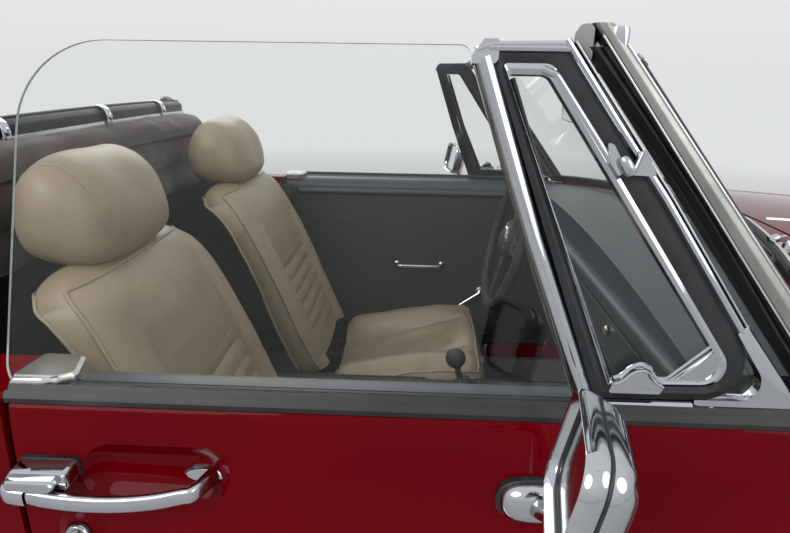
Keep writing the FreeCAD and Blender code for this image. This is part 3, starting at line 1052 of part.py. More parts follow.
def turned_sketch(body, label, rows):
    """A closed profile on the plane through the axle. rows: radius and place along the axle, as expressions."""
    sketch = body.newObject("Sketcher::SketchObject", f"{label}_profile")
    sketch.AttachmentSupport = [(origin_plane(body, "XY_Plane"), "")]
    sketch.MapMode = "FlatFace"
    count = len(rows)
    for i in range(count):
        start, end = Vector(10 + i, i * i, 0), Vector(11 + i, (i + 1) * (i + 1), 0)
        sketch.addGeometry(Part.LineSegment(start, end))
    for i in range(count):
        sketch.addConstraint(Sketcher.Constraint("Coincident", i, 2, (i + 1) % count, 1))
    for i, (radius, along) in enumerate(rows):
        for kind, text in (("DistanceX", radius), ("DistanceY", along)):
            index = sketch.addConstraint(Sketcher.Constraint(kind, -1, 1, i, 1, 10.0 + i))
            sketch.setExpression(f"Constraints[{index}]", text)
    return sketch


def turned_body(label, rows):
    """A part turned about the axle's direction."""
    body = doc.addObject("PartDesign::Body", label)
    body.Label = label
    sketch = turned_sketch(body, label, rows)
    turn = body.newObject("PartDesign::Revolution", f"{label}_turn")
    turn.Profile = sketch
    turn.ReferenceAxis = (sketch, ["V_Axis"])
    turn.Angle = 360
    sketch.Visibility = False
    return body


# radius from the axle, place along the axle outward
TYRE_ROWS = [
    ("sizes.rim_radius + sizes.seat_clearance", "-sizes.rim_width / 2 + 6 + 2 * sizes.seat_clearance"),
    ("sizes.rim_radius + 12 + sizes.seat_clearance", "-sizes.rim_width / 2 + 3 + 2 * sizes.seat_clearance"),
    ("sizes.rim_radius + 14", "-sizes.rim_width / 2 - 3"),
    ("(sizes.rim_radius + sizes.tyre_radius) / 2", "-sizes.tyre_width / 2"),
    ("sizes.tyre_radius - 22", "-sizes.tyre_width / 2 + 5"),
    ("sizes.tyre_radius - 6", "-sizes.tyre_width / 2 + 17"),
    ("sizes.tyre_radius", "-sizes.tyre_width / 2 + 34"),
    ("sizes.tyre_radius", "sizes.tyre_width / 2 - 34"),
    ("sizes.tyre_radius - 6", "sizes.tyre_width / 2 - 17"),
    ("sizes.tyre_radius - 22", "sizes.tyre_width / 2 - 5"),
    ("(sizes.rim_radius + sizes.tyre_radius) / 2", "sizes.tyre_width / 2"),
    ("sizes.rim_radius + 14", "sizes.rim_width / 2 + 3"),
    ("sizes.rim_radius + 12 + sizes.seat_clearance", "sizes.rim_width / 2 - 3 - 2 * sizes.seat_clearance"),
    ("sizes.rim_radius + sizes.seat_clearance", "sizes.rim_width / 2 - 6 - 2 * sizes.seat_clearance"),
]
RIM_ROWS = [
    ("sizes.rim_radius + 12", "-sizes.rim_width / 2 - 1"),
    ("sizes.rim_radius + 12", "-sizes.rim_width / 2 + 3"),
    ("sizes.rim_radius", "-sizes.rim_width / 2 + 6"),
    ("sizes.rim_radius", "sizes.rim_width / 2 - 6"),
    ("sizes.rim_radius + 12", "sizes.rim_width / 2 - 3"),
    ("sizes.rim_radius + 12", "sizes.rim_width / 2 + 1"),
    ("sizes.rim_radius - 6", "sizes.rim_width / 2"),
    ("sizes.rim_radius - 18", "sizes.rim_width / 2 - 22"),
    ("sizes.slot_circle + 22", "sizes.rim_width / 2 - 38"),
    ("sizes.cap_radius + 6", "sizes.rim_width / 2 - 26"),
    ("sizes.cap_radius", "sizes.rim_width / 2 - 16"),
    ("sizes.cap_radius * 0.6", "sizes.rim_width / 2 - 2"),
    ("0", "sizes.rim_width / 2 + 2"),
    ("0", "16"),
    ("sizes.hub_radius + 10", "16"),
    ("sizes.slot_circle + 20", "sizes.rim_width / 2 - 38 - sizes.rim_wall"),
    ("sizes.rim_radius - sizes.rim_wall - 14", "sizes.rim_width / 2 - 30"),
    ("sizes.rim_radius - sizes.rim_wall", "sizes.rim_width / 2 - 12"),
    ("sizes.rim_radius - sizes.rim_wall", "-sizes.rim_width / 2"),
]
CORNERS = [
    ("front_left", FRONT_AXLE, LEFT),
    ("front_right", FRONT_AXLE, RIGHT),
    ("rear_left", REAR_AXLE, LEFT),
    ("rear_right", REAR_AXLE, RIGHT),
]
for corner, axle_x, side in CORNERS:
    turn = Rotation(Vector(0, 0, 1), 0 if side == LEFT else 180)
    place = Placement(Vector(axle_x, HALF_TRACK * side, TYRE_R), turn)
    tyre = turned_body(f"tyre_{corner}", TYRE_ROWS)
    rim = turned_body(f"rim_{corner}", RIM_ROWS)
    doc.recompute()
    slot_sketch = rim.newObject("Sketcher::SketchObject", f"rim_{corner}_slot_outline")
    slot_sketch.AttachmentSupport = [(origin_plane(rim, "XZ_Plane"), "")]
    slot_sketch.MapMode = "FlatFace"
    slot_sketch.addGeometry(Part.Circle(Vector(size("slot_circle"), 0, 0), Vector(0, 0, 1), size("slot_radius")))
    slot_sketch.addConstraint(Sketcher.Constraint("PointOnObject", 0, 3, -1))
    across = slot_sketch.addConstraint(Sketcher.Constraint("DistanceX", -1, 1, 0, 3, size("slot_circle")))
    around = slot_sketch.addConstraint(Sketcher.Constraint("Radius", 0, size("slot_radius")))
    slot_sketch.setExpression(f"Constraints[{across}]", "sizes.slot_circle")
    slot_sketch.setExpression(f"Constraints[{around}]", "sizes.slot_radius")
    slot_sketch.Visibility = False
    doc.recompute()
    slot = rim.newObject("PartDesign::Pocket", f"rim_{corner}_slot")
    slot.Profile = slot_sketch
    slot.Type = "ThroughAll"
    slot.Midplane = True
    doc.recompute()
    ring_of_slots = rim.newObject("PartDesign::PolarPattern", f"rim_{corner}_slots")
    ring_of_slots.Originals = [slot]
    ring_of_slots.Axis = (slot_sketch, ["N_Axis"])
    ring_of_slots.Angle = 360
    ring_of_slots.setExpression("Occurrences", "sizes.slot_count")
    rim.Tip = ring_of_slots
    doc.recompute()
    for body in (tyre, rim):
        body.Placement = place
        parts.append(body)
doc.recompute()

# Every object is sound before anything is written.
for item in doc.Objects:
    if "Invalid" in item.State or "Error" in item.State:
        raise RuntimeError(f"{item.Label} did not build")
for item in parts:
    if item.Shape.isNull() or not item.Shape.isValid() or not item.Shape.Solids:
        raise RuntimeError(f"{item.Label} has no sound shape")
    print(f"{item.Label}: {len(item.Shape.Solids)} solids, {item.Shape.Volume / 1e6:.3f} litres")
os.makedirs("parts", exist_ok=True)
for item in parts:
    item.Shape.exportStep(f"parts/{item.Label}.step")
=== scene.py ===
import math

import bmesh
import bpy
import numpy as np
from bpy.props import FloatProperty, FloatVectorProperty, PointerProperty
from mathutils import Matrix, Vector, noise
from mathutils.bvhtree import BVHTree


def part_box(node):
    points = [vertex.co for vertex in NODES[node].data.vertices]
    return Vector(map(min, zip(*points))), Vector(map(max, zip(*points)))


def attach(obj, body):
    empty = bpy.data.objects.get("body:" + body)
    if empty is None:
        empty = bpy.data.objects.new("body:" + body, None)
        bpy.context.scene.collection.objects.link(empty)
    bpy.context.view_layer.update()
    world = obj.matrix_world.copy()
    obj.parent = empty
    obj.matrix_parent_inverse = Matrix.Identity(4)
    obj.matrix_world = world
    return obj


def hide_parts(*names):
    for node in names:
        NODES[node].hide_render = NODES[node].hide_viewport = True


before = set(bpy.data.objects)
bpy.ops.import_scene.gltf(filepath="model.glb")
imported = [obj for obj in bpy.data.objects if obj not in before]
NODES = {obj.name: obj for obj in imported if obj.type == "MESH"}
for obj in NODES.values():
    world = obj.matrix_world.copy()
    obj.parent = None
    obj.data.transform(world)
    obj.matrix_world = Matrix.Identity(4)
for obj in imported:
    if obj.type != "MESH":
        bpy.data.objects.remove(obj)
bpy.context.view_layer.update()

bl_info = {
    "name": "Open Roadster Looks",
    "version": (1, 0, 0),
    "blender": (4, 5, 0),
    "location": "View3D > Sidebar > Roadster",
    "description": "Finishes, trim and soft goods of an open two-seat car, built round its CAD frame",
    "category": "Object",
}

SIDES = (("left", 1), ("right", -1))
WAIST, GLASS_LINE, GLASS_LEAN = 828.0, 690.0, math.radians(8.2)
SEAT_CENTRE = 330
OUT, UP = (0, 1, 0), (0, 0, 1)


# The photograph's camera, found from the car's own sizes: metres and degrees
CAMERA_PLACE = (0.015, -1.218, 1.160)
CAMERA_PITCH, CAMERA_YAW, CAMERA_ROLL = 18.75, 2.1, 0.9
FOCAL_PIXELS, PHOTO_WIDTH = 570, 790


# Colours


def linear(code):
    """An sRGB hex colour as the linear numbers that a shader takes."""
    parts = [int(code[i:i + 2], 16) / 255 for i in (1, 3, 5)]
    return (*[c / 12.92 if c <= 0.04045 else ((c + 0.055) / 1.055) ** 2.4 for c in parts], 1.0)


# Settings that a user would change


def colour(name, description, code):
    return FloatVectorProperty(
        name=name, description=description, default=linear(code)[:3], size=3, min=0, max=1, subtype="COLOR")


def length(name, description, millimetres):
    return FloatProperty(name=name, description=description, default=millimetres / 1000, min=0, unit="LENGTH")


class RoadsterColours(bpy.types.PropertyGroup):
    """The colours of the car's finishes."""

    paint: colour("Paint", "Enamel on the body, doors and lids", "#68000a")
    leather: colour("Leather", "Hide on the seats and head restraints", "#9c8c74")
    trim: colour("Padding", "Grey-blue vinyl on the dashboard and door cappings", "#2f383d")
    cloth: colour("Roof cloth", "Woven cloth of the folded roof", "#5a4f49")


class RoadsterSizes(bpy.types.PropertyGroup):
    """Sizes of the pieces that the looks add to the frame."""

    piping: length("Piping", "Radius of the piped cord in the seat seams", 3.2)
    seal: length("Waist seal", "Height of the rubber seal along the side glass", 13)
    tread: length("Tread depth", "Depth of the tyre grooves", 6)
    floor: length("Floor radius", "Radius of the pale floor round the car", 45000)


# Materials: each is made once and then found by its name

NOISE, CELLS, WAVES = "ShaderNodeTexNoise", "ShaderNodeTexVoronoi", "ShaderNodeTexWave"


def add(tree, kind, inputs=None, **settings):
    """Adds one node to a tree: settings are its own, and inputs are values or other nodes' outputs."""
    node = tree.nodes.new(kind)
    for key, value in settings.items():
        setattr(node, key, value)
    for key, value in (inputs or {}).items():
        if isinstance(value, bpy.types.NodeSocket):
            tree.links.new(value, node.inputs[key])
        else:
            node.inputs[key].default_value = value
    return node


def give(shader, **values):
    """Sets or links a shader's own sockets: an underscore in a name stands for a space."""
    for key, value in values.items():
        socket = shader.inputs[key.replace("_", " ")]
        if isinstance(value, bpy.types.NodeSocket):
            shader.id_data.links.new(value, socket)
        else:
            socket.default_value = value


def start(name):
    """A new material's tree, its shader and the object coordinates."""
    material = bpy.data.materials.new(name)
    material.use_nodes = True
    tree = material.node_tree
    shader = tree.nodes["Principled BSDF"]
    coords = tree.nodes.new("ShaderNodeTexCoord").outputs["Object"]
    return material, tree, shader, coords


def spread(tree, factor, low, high):
    """A value from low to high by a 0 to 1 factor."""
    return add(tree, "ShaderNodeMapRange", {"Value": factor, "To Min": low, "To Max": high}).outputs["Result"]


def tones(tree, factor, stops):
    """A colour ramp of (place, colour) stops, each colour a hex code or linear numbers."""
    ramp = add(tree, "ShaderNodeValToRGB", {"Fac": factor})
    while len(ramp.color_ramp.elements) < len(stops):
        ramp.color_ramp.elements.new(0.5)
    for element, (place, tone) in zip(ramp.color_ramp.elements, stops):
        element.position, element.color = place, linear(tone) if isinstance(tone, str) else tone
    return ramp.outputs["Color"]


def shade(rgb, factor):
    return (*[min(1.0, c * factor) for c in rgb[:3]], 1.0)


def settings():
    return bpy.context.scene.roadster_colours, bpy.context.scene.roadster_sizes


def patterned(name, tone=None, rough=None, relief=None, **values):
    """A material from up to three patterns: tone has colour stops, rough the roughness at the pattern's ends,
    and relief a strength and a depth in metres. A pattern names a texture's inputs with a capital and its
    settings without one; one used twice is made once. The other values are the shader's own."""
    material, tree, shader, coords = start(name)
    made = {}

    def texture(pattern):
        key = str(pattern)
        if key not in made:
            pattern = dict(pattern)
            kind, stretch = pattern.pop("kind", NOISE), pattern.pop("stretch", None)
            place = coords
            if stretch:
                place = add(tree, "ShaderNodeMapping", {"Vector": coords, "Scale": stretch}).outputs["Vector"]
            inputs = {k: v for k, v in pattern.items() if k[0].isupper()}
            own = {k: v for k, v in pattern.items() if k[0].islower()}
            node = add(tree, kind, {"Vector": place, **inputs}, **own)
            made[key] = node.outputs["Distance" if kind == CELLS else "Fac"]
        return made[key]

    if tone:
        give(shader, Base_Color=tones(tree, texture(tone[0]), tone[1:]))
    if rough:
        give(shader, Roughness=spread(tree, texture(rough[0]), *rough[1:]))
    if relief:
        pattern, strength, depth = relief
        bump = add(tree, "ShaderNodeBump", {"Strength": strength, "Distance": depth,
                                            "Height": texture(pattern)})
        give(shader, Normal=bump.outputs["Normal"])
    give(shader, **values)
    return material


def daylit(material, tint):
    """Glass that casts no dark shadow: shadow rays pass it with a weak tint."""
    tree = material.node_tree
    shader = tree.nodes["Principled BSDF"]
    clear = add(tree, "ShaderNodeBsdfTransparent", {"Color": linear(tint)})
    path = add(tree, "ShaderNodeLightPath")
    mix = add(tree, "ShaderNodeMixShader", {
        0: path.outputs["Is Shadow Ray"], 1: shader.outputs["BSDF"], 2: clear.outputs["BSDF"]})
    tree.links.new(mix.outputs["Shader"], tree.nodes["Material Output"].inputs["Surface"])
    return material


# Cellulose enamel, sprayed and polished: deep red under a clear gloss, with a faint 3 mm orange peel.
def body_enamel():
    hue, _ = settings()
    return patterned(
        "body_enamel",
        tone=({"Scale": 5.0, "Detail": 3.0}, (0.3, shade(hue.paint, 0.88)), (0.7, shade(hue.paint, 1.06))),
        rough=({"Scale": 38.0, "Detail": 4.0}, 0.2, 0.34),
        relief=({"Scale": 330.0, "Detail": 1.0}, 0.02, 0.0002),
        Coat_Weight=1.0, Coat_Roughness=0.035, Coat_IOR=1.16, Specular_IOR_Level=0.0)


# Chromium plate, buffed: a near-mirror with faint polishing haze and a few dull freckles.
def chromium_plate():
    return patterned(
        "chromium_plate",
        tone=({"Scale": 600.0, "Detail": 2.0}, (0.24, "#6d6660"), (0.3, "#b4b7bc")),
        rough=({"Scale": 26.0, "Detail": 6.0}, 0.03, 0.13),
        relief=({"Scale": 45.0, "Detail": 2.0}, 0.05, 0.001),
        Metallic=1.0)


# Extruded aluminium, anodised and rubbed dull: grey metal with fine die lines and weathered patches.
def anodised_aluminium():
    die_lines = {"stretch": (40.0, 900.0, 40.0), "Scale": 1.0, "Detail": 2.0}
    return patterned(
        "anodised_aluminium",
        tone=({"Scale": 14.0, "Detail": 5.0}, (0.3, "#83847f"), (0.7, "#a7a8a3")),
        rough=(die_lines, 0.3, 0.46),
        relief=(die_lines, 0.08, 0.0003),
        Metallic=1.0)


# Toughened float glass, 5 mm: clear with a weak grey-green cast; daylight passes it to the cabin.
def float_glass():
    glass = patterned(
        "float_glass", rough=({"Scale": 9.0, "Detail": 4.0}, 0.0, 0.025),
        Base_Color=linear("#fafcfa"), Transmission_Weight=1.0, IOR=1.3)
    return daylit(glass, "#f4f7f5")


# The ground and polished edge of that glass: a pale line that gathers light.
def ground_glass_edge():
    return patterned(
        "ground_glass_edge", tone=({"Scale": 900.0, "Detail": 2.0}, (0.35, "#b9c9bf"), (0.65, "#e6efe8")),
        Roughness=0.25, Transmission_Weight=0.35, IOR=1.52)


# Pressed lamp glass: clear with vertical prisms about 6 mm wide.
def pressed_lamp_glass():
    material, tree, shader, coords = start("pressed_lamp_glass")
    flutes = add(tree, WAVES, {"Vector": coords, "Scale": 52.0}, bands_direction="Y", wave_profile="SIN")
    cross = add(tree, WAVES, {"Vector": coords, "Scale": 14.0}, bands_direction="Z", wave_profile="SIN")
    both = add(tree, "ShaderNodeMath", {0: flutes.outputs["Fac"], 1: cross.outputs["Fac"]}, operation="ADD")
    bump = add(tree, "ShaderNodeBump", {"Strength": 0.5, "Distance": 0.0015, "Height": both.outputs["Value"]})
    give(shader, Normal=bump.outputs["Normal"], Base_Color=linear("#f3f5f4"), Transmission_Weight=1.0,
         Roughness=0.03, IOR=1.5)
    return daylit(material, "#eeeeee")


# Moulded acrylic of a signal lamp: strong colour with a fine 2 mm diamond pattern under the gloss.
def acrylic_lens(name, code):
    diamonds = {"kind": CELLS, "Scale": 420.0, "feature": "F1"}
    return patterned(
        name,
        tone=(diamonds, (0.1, code), (0.8, shade(linear(code), 0.55))),
        relief=(diamonds, 0.4, 0.0008),
        Roughness=0.12, IOR=1.49, Transmission_Weight=0.35, Coat_Weight=0.6, Coat_Roughness=0.04)


# Seat hide, dyed and waxed: beige leather with 1.4 mm pebble grain, soft creases, and a darker tone that
# follows the crease pattern.
def seat_hide():
    hue, _ = settings()
    material, tree, shader, coords = start("seat_hide")
    pebble = add(tree, CELLS, {"Vector": coords, "Scale": 720.0, "Randomness": 1.0},
                 feature="DISTANCE_TO_EDGE")
    wide = add(tree, NOISE, {"Vector": coords, "Scale": 11.0, "Detail": 6.0, "Roughness": 0.6})
    crease = add(tree, NOISE, {
        "Vector": coords, "Scale": 55.0, "Detail": 8.0, "Roughness": 0.65, "Distortion": 1.2})
    tone = tones(tree, wide.outputs["Fac"], [
        (0.25, shade(hue.leather, 0.74)), (0.5, shade(hue.leather, 0.95)), (0.78, shade(hue.leather, 1.1))])
    # The colour darkens where the crease pattern runs high, the same pattern that raises the creases.
    darker_by_crease = add(tree, "ShaderNodeMixRGB", {
        "Fac": spread(tree, crease.outputs["Fac"], 0.0, 0.5), "Color1": tone,
        "Color2": shade(hue.leather, 0.72)})
    fine = add(tree, "ShaderNodeBump", {"Strength": 0.22, "Distance": 0.0004,
                                        "Height": pebble.outputs["Distance"]})
    coarse = add(tree, "ShaderNodeBump", {
        "Strength": 0.3, "Distance": 0.0016, "Height": crease.outputs["Fac"],
        "Normal": fine.outputs["Normal"]})
    give(shader, Base_Color=darker_by_crease.outputs["Color"], Roughness=spread(tree, crease.outputs["Fac"], 0.36, 0.6),
         Normal=coarse.outputs["Normal"], Specular_IOR_Level=0.45, Coat_Weight=0.12, Coat_Roughness=0.3)
    return material


# Calendered vinyl on board: soft sheen with a 1 mm embossed grain.
def grained_vinyl(name, tone, rough):
    age = {"Scale": 16.0, "Detail": 5.0}
    return patterned(
        name,
        tone=(age, (0.3, shade(tone, 0.82)), (0.75, shade(tone, 1.15))),
        rough=(age, rough - 0.07, rough + 0.1),
        relief=({"kind": CELLS, "Scale": 950.0, "feature": "DISTANCE_TO_EDGE"}, 0.25, 0.0004))


# Woven roof cloth over a rubbered backing: brown-grey, with a 3 mm rib drawn coarse enough to show, and a
# painted shade in the low places between the threads.
def woven_roof_cloth():
    hue, _ = settings()
    material, tree, shader, coords = start("woven_roof_cloth")
    warp, weft = [
        add(tree, WAVES, {"Vector": coords, "Scale": 105.0, "Distortion": 0.6, "Detail": 1.0},
            bands_direction=way)
        for way in ("Y", "DIAGONAL")]
    weave = add(tree, "ShaderNodeMath", {0: warp.outputs["Fac"], 1: weft.outputs["Fac"]},
                operation="MULTIPLY")
    dust = add(tree, NOISE, {"Vector": coords, "Scale": 13.0, "Detail": 6.0})
    tone = tones(tree, dust.outputs["Fac"], [(0.3, shade(hue.cloth, 0.72)), (0.75, shade(hue.cloth, 1.2))])
    # Painted shade: the colour darkens where the weave sinks between the threads.
    dark = add(tree, "ShaderNodeMixRGB", {
        "Fac": spread(tree, weave.outputs["Value"], 0.4, 0.0), "Color1": tone,
        "Color2": shade(hue.cloth, 0.45)})
    bump = add(tree, "ShaderNodeBump", {"Strength": 0.5, "Distance": 0.0007,
                                        "Height": weave.outputs["Value"]})
    give(shader, Base_Color=dark.outputs["Color"], Normal=bump.outputs["Normal"], Roughness=0.88,
         Sheen_Weight=0.35, Sheen_Roughness=0.5)
    return material


# Extruded sealing rubber: near black, dull, with chalky bloom along it.
def sealing_rubber():
    bloom = {"Scale": 30.0, "Detail": 6.0}
    return patterned(
        "sealing_rubber",
        tone=(bloom, (0.35, "#101113"), (0.75, "#24272b")),
        rough=(bloom, 0.35, 0.62),
        relief=({"Scale": 700.0, "Detail": 2.0}, 0.12, 0.0003))


# Vulcanised tyre rubber: dark grey, matt, dusty in the low places.
def tyre_rubber():
    dust = {"Scale": 22.0, "Detail": 7.0, "Roughness": 0.65}
    return patterned(
        "tyre_rubber",
        tone=(dust, (0.35, "#17181a"), (0.62, "#232323"), (0.85, "#3b3733")),
        rough=(dust, 0.62, 0.9),
        relief=({"Scale": 500.0, "Detail": 3.0}, 0.2, 0.0005))


# Looped nylon carpet on the floor: dark charcoal pile, loops about 4 mm apart; its colour carries a painted
# shade, darker from each loop's top into the gaps between the loops.
def looped_carpet():
    material, tree, shader, coords = start("looped_carpet")
    loops = add(tree, CELLS, {"Vector": coords, "Scale": 250.0}, feature="F1").outputs["Distance"]
    bump = add(tree, "ShaderNodeBump", {"Strength": 0.8, "Distance": 0.003, "Height": loops}, invert=True)
    # Painted shade: the colour darkens away from each loop's top, into the sunken gaps.
    give(shader, Base_Color=tones(tree, loops, [(0.1, "#35322f"), (0.7, "#131211")]),
         Normal=bump.outputs["Normal"], Roughness=0.95, Sheen_Weight=0.3)
    return material


# Metal in paint or bare: frames, castings and pressings, mottled by dirt a few centimetres wide.
def metal_finish(name, dark, light, metallic, rough, grain=260.0, depth=0.0004, coat=0.0):
    dirt = {"Scale": 24.0, "Detail": 6.0, "Roughness": 0.6}
    return patterned(
        name,
        tone=(dirt, (0.32, dark), (0.7, light)),
        rough=(dirt, rough - 0.08, rough + 0.12),
        relief=({"Scale": grain, "Detail": 3.0}, 0.3, depth),
        Metallic=metallic, Coat_Weight=coat, Coat_Roughness=0.1)


# Dial faces: matt black enamel, a little flecked.
def dial_face():
    return patterned("dial_face", tone=({"Scale": 300.0}, (0.4, "#0c0c0d"), (0.7, "#151516")), Roughness=0.35)


FINISHES = {
    "body_enamel": body_enamel,
    "chromium_plate": chromium_plate,
    "anodised_aluminium": anodised_aluminium,
    "float_glass": float_glass,
    "ground_glass_edge": ground_glass_edge,
    "pressed_lamp_glass": pressed_lamp_glass,
    "red_acrylic": lambda: acrylic_lens("red_acrylic", "#a3060c"),
    "amber_acrylic": lambda: acrylic_lens("amber_acrylic", "#e0700c"),
    "clear_acrylic": lambda: acrylic_lens("clear_acrylic", "#dfe0dc"),
    "seat_hide": seat_hide,
    "black_vinyl": lambda: grained_vinyl("black_vinyl", linear("#0f1011"), 0.42),
    "padding_vinyl": lambda: grained_vinyl("padding_vinyl", settings()[0].trim, 0.45),
    "woven_roof_cloth": woven_roof_cloth,
    "sealing_rubber": sealing_rubber,
    "tyre_rubber": tyre_rubber,
    "looped_carpet": looped_carpet,
    "dial_face": dial_face,
    # Air-dried chassis black over pressed steel: half gloss, dusty.
    "chassis_black": lambda: metal_finish("chassis_black", "#111214", "#26272a", 0.0, 0.42),
    # Brushed-on stone guard below the car: thick, matt and pebbled.
    "stone_guard": lambda: metal_finish("stone_guard", "#131313", "#2a2927", 0.0, 0.78, 420.0, 0.0016),
    # Sand-cast iron with an oil film: dark grey with a coarse 2 mm skin.
    "sand_cast_iron": lambda: metal_finish("sand_cast_iron", "#2c2f31", "#4b4f50", 0.6, 0.5, 500.0, 0.0012),
    # Wheel lacquer over pressed steel: aluminium paint, half gloss.
    "wheel_lacquer": lambda: metal_finish(
        "wheel_lacquer", "#92959a", "#b4b7ba", 0.55, 0.3, 700.0, 0.0001, 0.4),
    # Stainless strip, rolled bright.
    "rolled_stainless": lambda: metal_finish(
        "rolled_stainless", "#b9bbbb", "#cfd1d1", 1.0, 0.2, 900.0, 0.0001),
    # Mild-steel exhaust pipe after heat: brown-grey scale.
    "scaled_steel": lambda: metal_finish("scaled_steel", "#4a4038", "#7c7369", 0.8, 0.5, 300.0, 0.0006),
    # Black moulded nylon of knobs, small caps and stops.
    "moulded_nylon": lambda: metal_finish("moulded_nylon", "#0f1011", "#1c1d1f", 0.0, 0.38, 900.0, 0.0001),
    # Silvered mirror glass.
    "silvered_glass": lambda: metal_finish("silvered_glass", "#d6dadb", "#e2e6e6", 1.0, 0.09, 900.0, 0.00001),
}


CHROME, STAINLESS, RUBBER, NYLON = "chromium_plate", "rolled_stainless", "sealing_rubber", "moulded_nylon"
VINYL, PADDING, HIDE = "black_vinyl", "padding_vinyl", "seat_hide"


def finish(name):
    """The material of that name, made when it is first asked for."""
    return bpy.data.materials.get(name) or FINISHES[name]()


# Mesh code. Points are in millimetres until a piece is made.


def vec(*numbers):
    return np.array(numbers, float)


def unit(v):
    return v / max(np.linalg.norm(v), 1e-9)


def rounded(points, radii, steps=5, closed=True):
    """A line of straight runs with its corners rounded. Works in two or three dimensions."""
    pts = [np.array(p, float) for p in points]
    radii = list(radii) if hasattr(radii, "__len__") else [radii] * len(pts)
    out = []
    for i, p in enumerate(pts):
        if not closed and i in (0, len(pts) - 1):
            out.append(p)
            continue
        a, b = pts[i - 1] - p, pts[(i + 1) % len(pts)] - p
        ua, ub = unit(a), unit(b)
        half = math.acos(max(-1, min(1, float(ua @ ub)))) / 2
        if radii[i] < 0.01 or half > math.pi / 2 - 0.01:
            out.append(p)
            continue
        reach = min(radii[i] / math.tan(half), np.linalg.norm(a) * 0.49, np.linalg.norm(b) * 0.49)
        radius = reach * math.tan(half)
        centre = p + unit(ua + ub) * (radius / math.sin(half))
        first, last = p + ua * reach - centre, p + ub * reach - centre
        turn = math.pi - 2 * half
        for k in range(steps + 1):
            t = k / steps
            out.append(centre + (math.sin((1 - t) * turn) * first
                                 + math.sin(t * turn) * last) / math.sin(turn))
    return np.array(out)


def flow(points, steps=8, closed=False):
    """A smooth line through points."""
    pts = [np.array(p, float) for p in points]
    count = len(pts)
    out = []
    for i in range(count if closed else count - 1):
        p1, p2 = pts[i], pts[(i + 1) % count]
        p0 = pts[i - 1] if closed or i else 2 * p1 - p2
        p3 = pts[(i + 2) % count] if closed or i + 2 < count else 2 * p2 - p1
        for k in range(steps):
            t = k / steps
            out.append(0.5 * (2 * p1 + (p2 - p0) * t + (2 * p0 - 5 * p1 + 4 * p2 - p3) * t * t
                              + (3 * p1 - p0 - 3 * p2 + p3) * t ** 3))
    if not closed:
        out.append(pts[-1])
    return np.array(out)


def oval(half_u, half_v, sides=24, power=2.0):
    """A round or squared-off ring: points (u, v)."""
    out = []
    for k in range(sides):
        a = 2 * math.pi * k / sides
        c, s = math.cos(a), math.sin(a)
        out.append((half_u * math.copysign(abs(c) ** (2 / power), c),
                    half_v * math.copysign(abs(s) ** (2 / power), s)))
    return np.array(out)


def loft(rings, closed=True, caps=True, cyclic=False):
    """Skin over equal rings: closed joins each ring's ends, and cyclic the last ring to the first."""
    rings = [np.asarray(r, float) for r in rings]
    n, rows = len(rings[0]), len(rings)
    verts = np.concatenate(rings)
    faces = []
    for i in range(rows if cyclic else rows - 1):
        a, b = i * n, (i + 1) % rows * n
        for k in range(n if closed else n - 1):
            m = (k + 1) % n
            faces.append((a + k, a + m, b + m, b + k))
    if caps and closed and not cyclic:
        for ring, flip in ((0, True), (rows - 1, False)):
            loop = [ring * n + k for k in range(n)]
            faces.append(tuple(reversed(loop)) if flip else tuple(loop))
    return verts, faces


def sweep(path, profile, normal=None, closed=False, caps=True, scale=None):
    """Carries a profile of (out, along normal) points down a line, turning with it if there is no normal."""
    path = np.asarray(path, float)
    count = len(path)
    tangents = []
    for i in range(count):
        before = path[i] - path[i - 1] if closed or i else path[1] - path[0]
        after = path[(i + 1) % count] - path[i] if closed or i < count - 1 else path[-1] - path[-2]
        tangents.append((unit(before), unit(after)))
    rings = []
    if normal is None:
        first = unit(tangents[0][0] + tangents[0][1])
        helper = vec(0, 0, 1) if abs(first[2]) < 0.9 else vec(0, 1, 0)
        up = unit(helper - first * (helper @ first))
    for i, (before, after) in enumerate(tangents):
        along = unit(before + after)
        if normal is None:
            up = unit(up - along * (up @ along))
            out, high, stretch = np.cross(along, up), up, 1.0
        else:
            high = unit(np.asarray(normal, float))
            out = unit(np.cross(along, high))
            stretch = 1 / max(0.35, float(along @ after))
        grow = 1.0 if scale is None else scale[i] if hasattr(scale, "__len__") else scale
        rings.append([path[i] + out * u * stretch * grow + high * v * grow for u, v in profile])
    return loft(rings, closed=True, caps=caps, cyclic=closed)


def tube(path, radius, sides=12, closed=False, scale=None):
    return sweep(path, oval(radius, radius, sides), closed=closed, scale=scale)


def lathe(profile, centre, axis, sides=48, start=None):
    """Turns (radius, height) points round an axis."""
    axis = unit(np.asarray(axis, float))
    helper = vec(0, 0, 1) if abs(axis[2]) < 0.9 else vec(1, 0, 0)
    u = unit(helper - axis * (helper @ axis)) if start is None else unit(np.asarray(start, float))
    v = np.cross(axis, u)
    rings = []
    for k in range(sides):
        a = 2 * math.pi * k / sides
        spoke = u * math.cos(a) + v * math.sin(a)
        rings.append([np.asarray(centre, float) + spoke * r + axis * h for r, h in profile])
    return loft(rings, closed=False, caps=False, cyclic=True)


def slab(outline, direction):
    """A flat outline of 3-D points, thickened along direction."""
    outline = np.asarray(outline, float)
    return loft([outline, outline + np.asarray(direction, float)])


def disc(outline):
    outline = np.asarray(outline, float)
    return outline, [tuple(range(len(outline)))]


def on_plane(points, origin, u, v):
    """2-D points laid on a plane."""
    return np.asarray(origin, float) + np.outer(points[:, 0], u) + np.outer(points[:, 1], v)


def flipped(part):
    """The part on the other side of the car."""
    verts, faces = part
    return verts * vec(1, -1, 1), [tuple(reversed(f)) for f in faces]


def on_side(part, side):
    """Parts are drawn on the left, at positive Y."""
    return part if side > 0 else flipped(part)


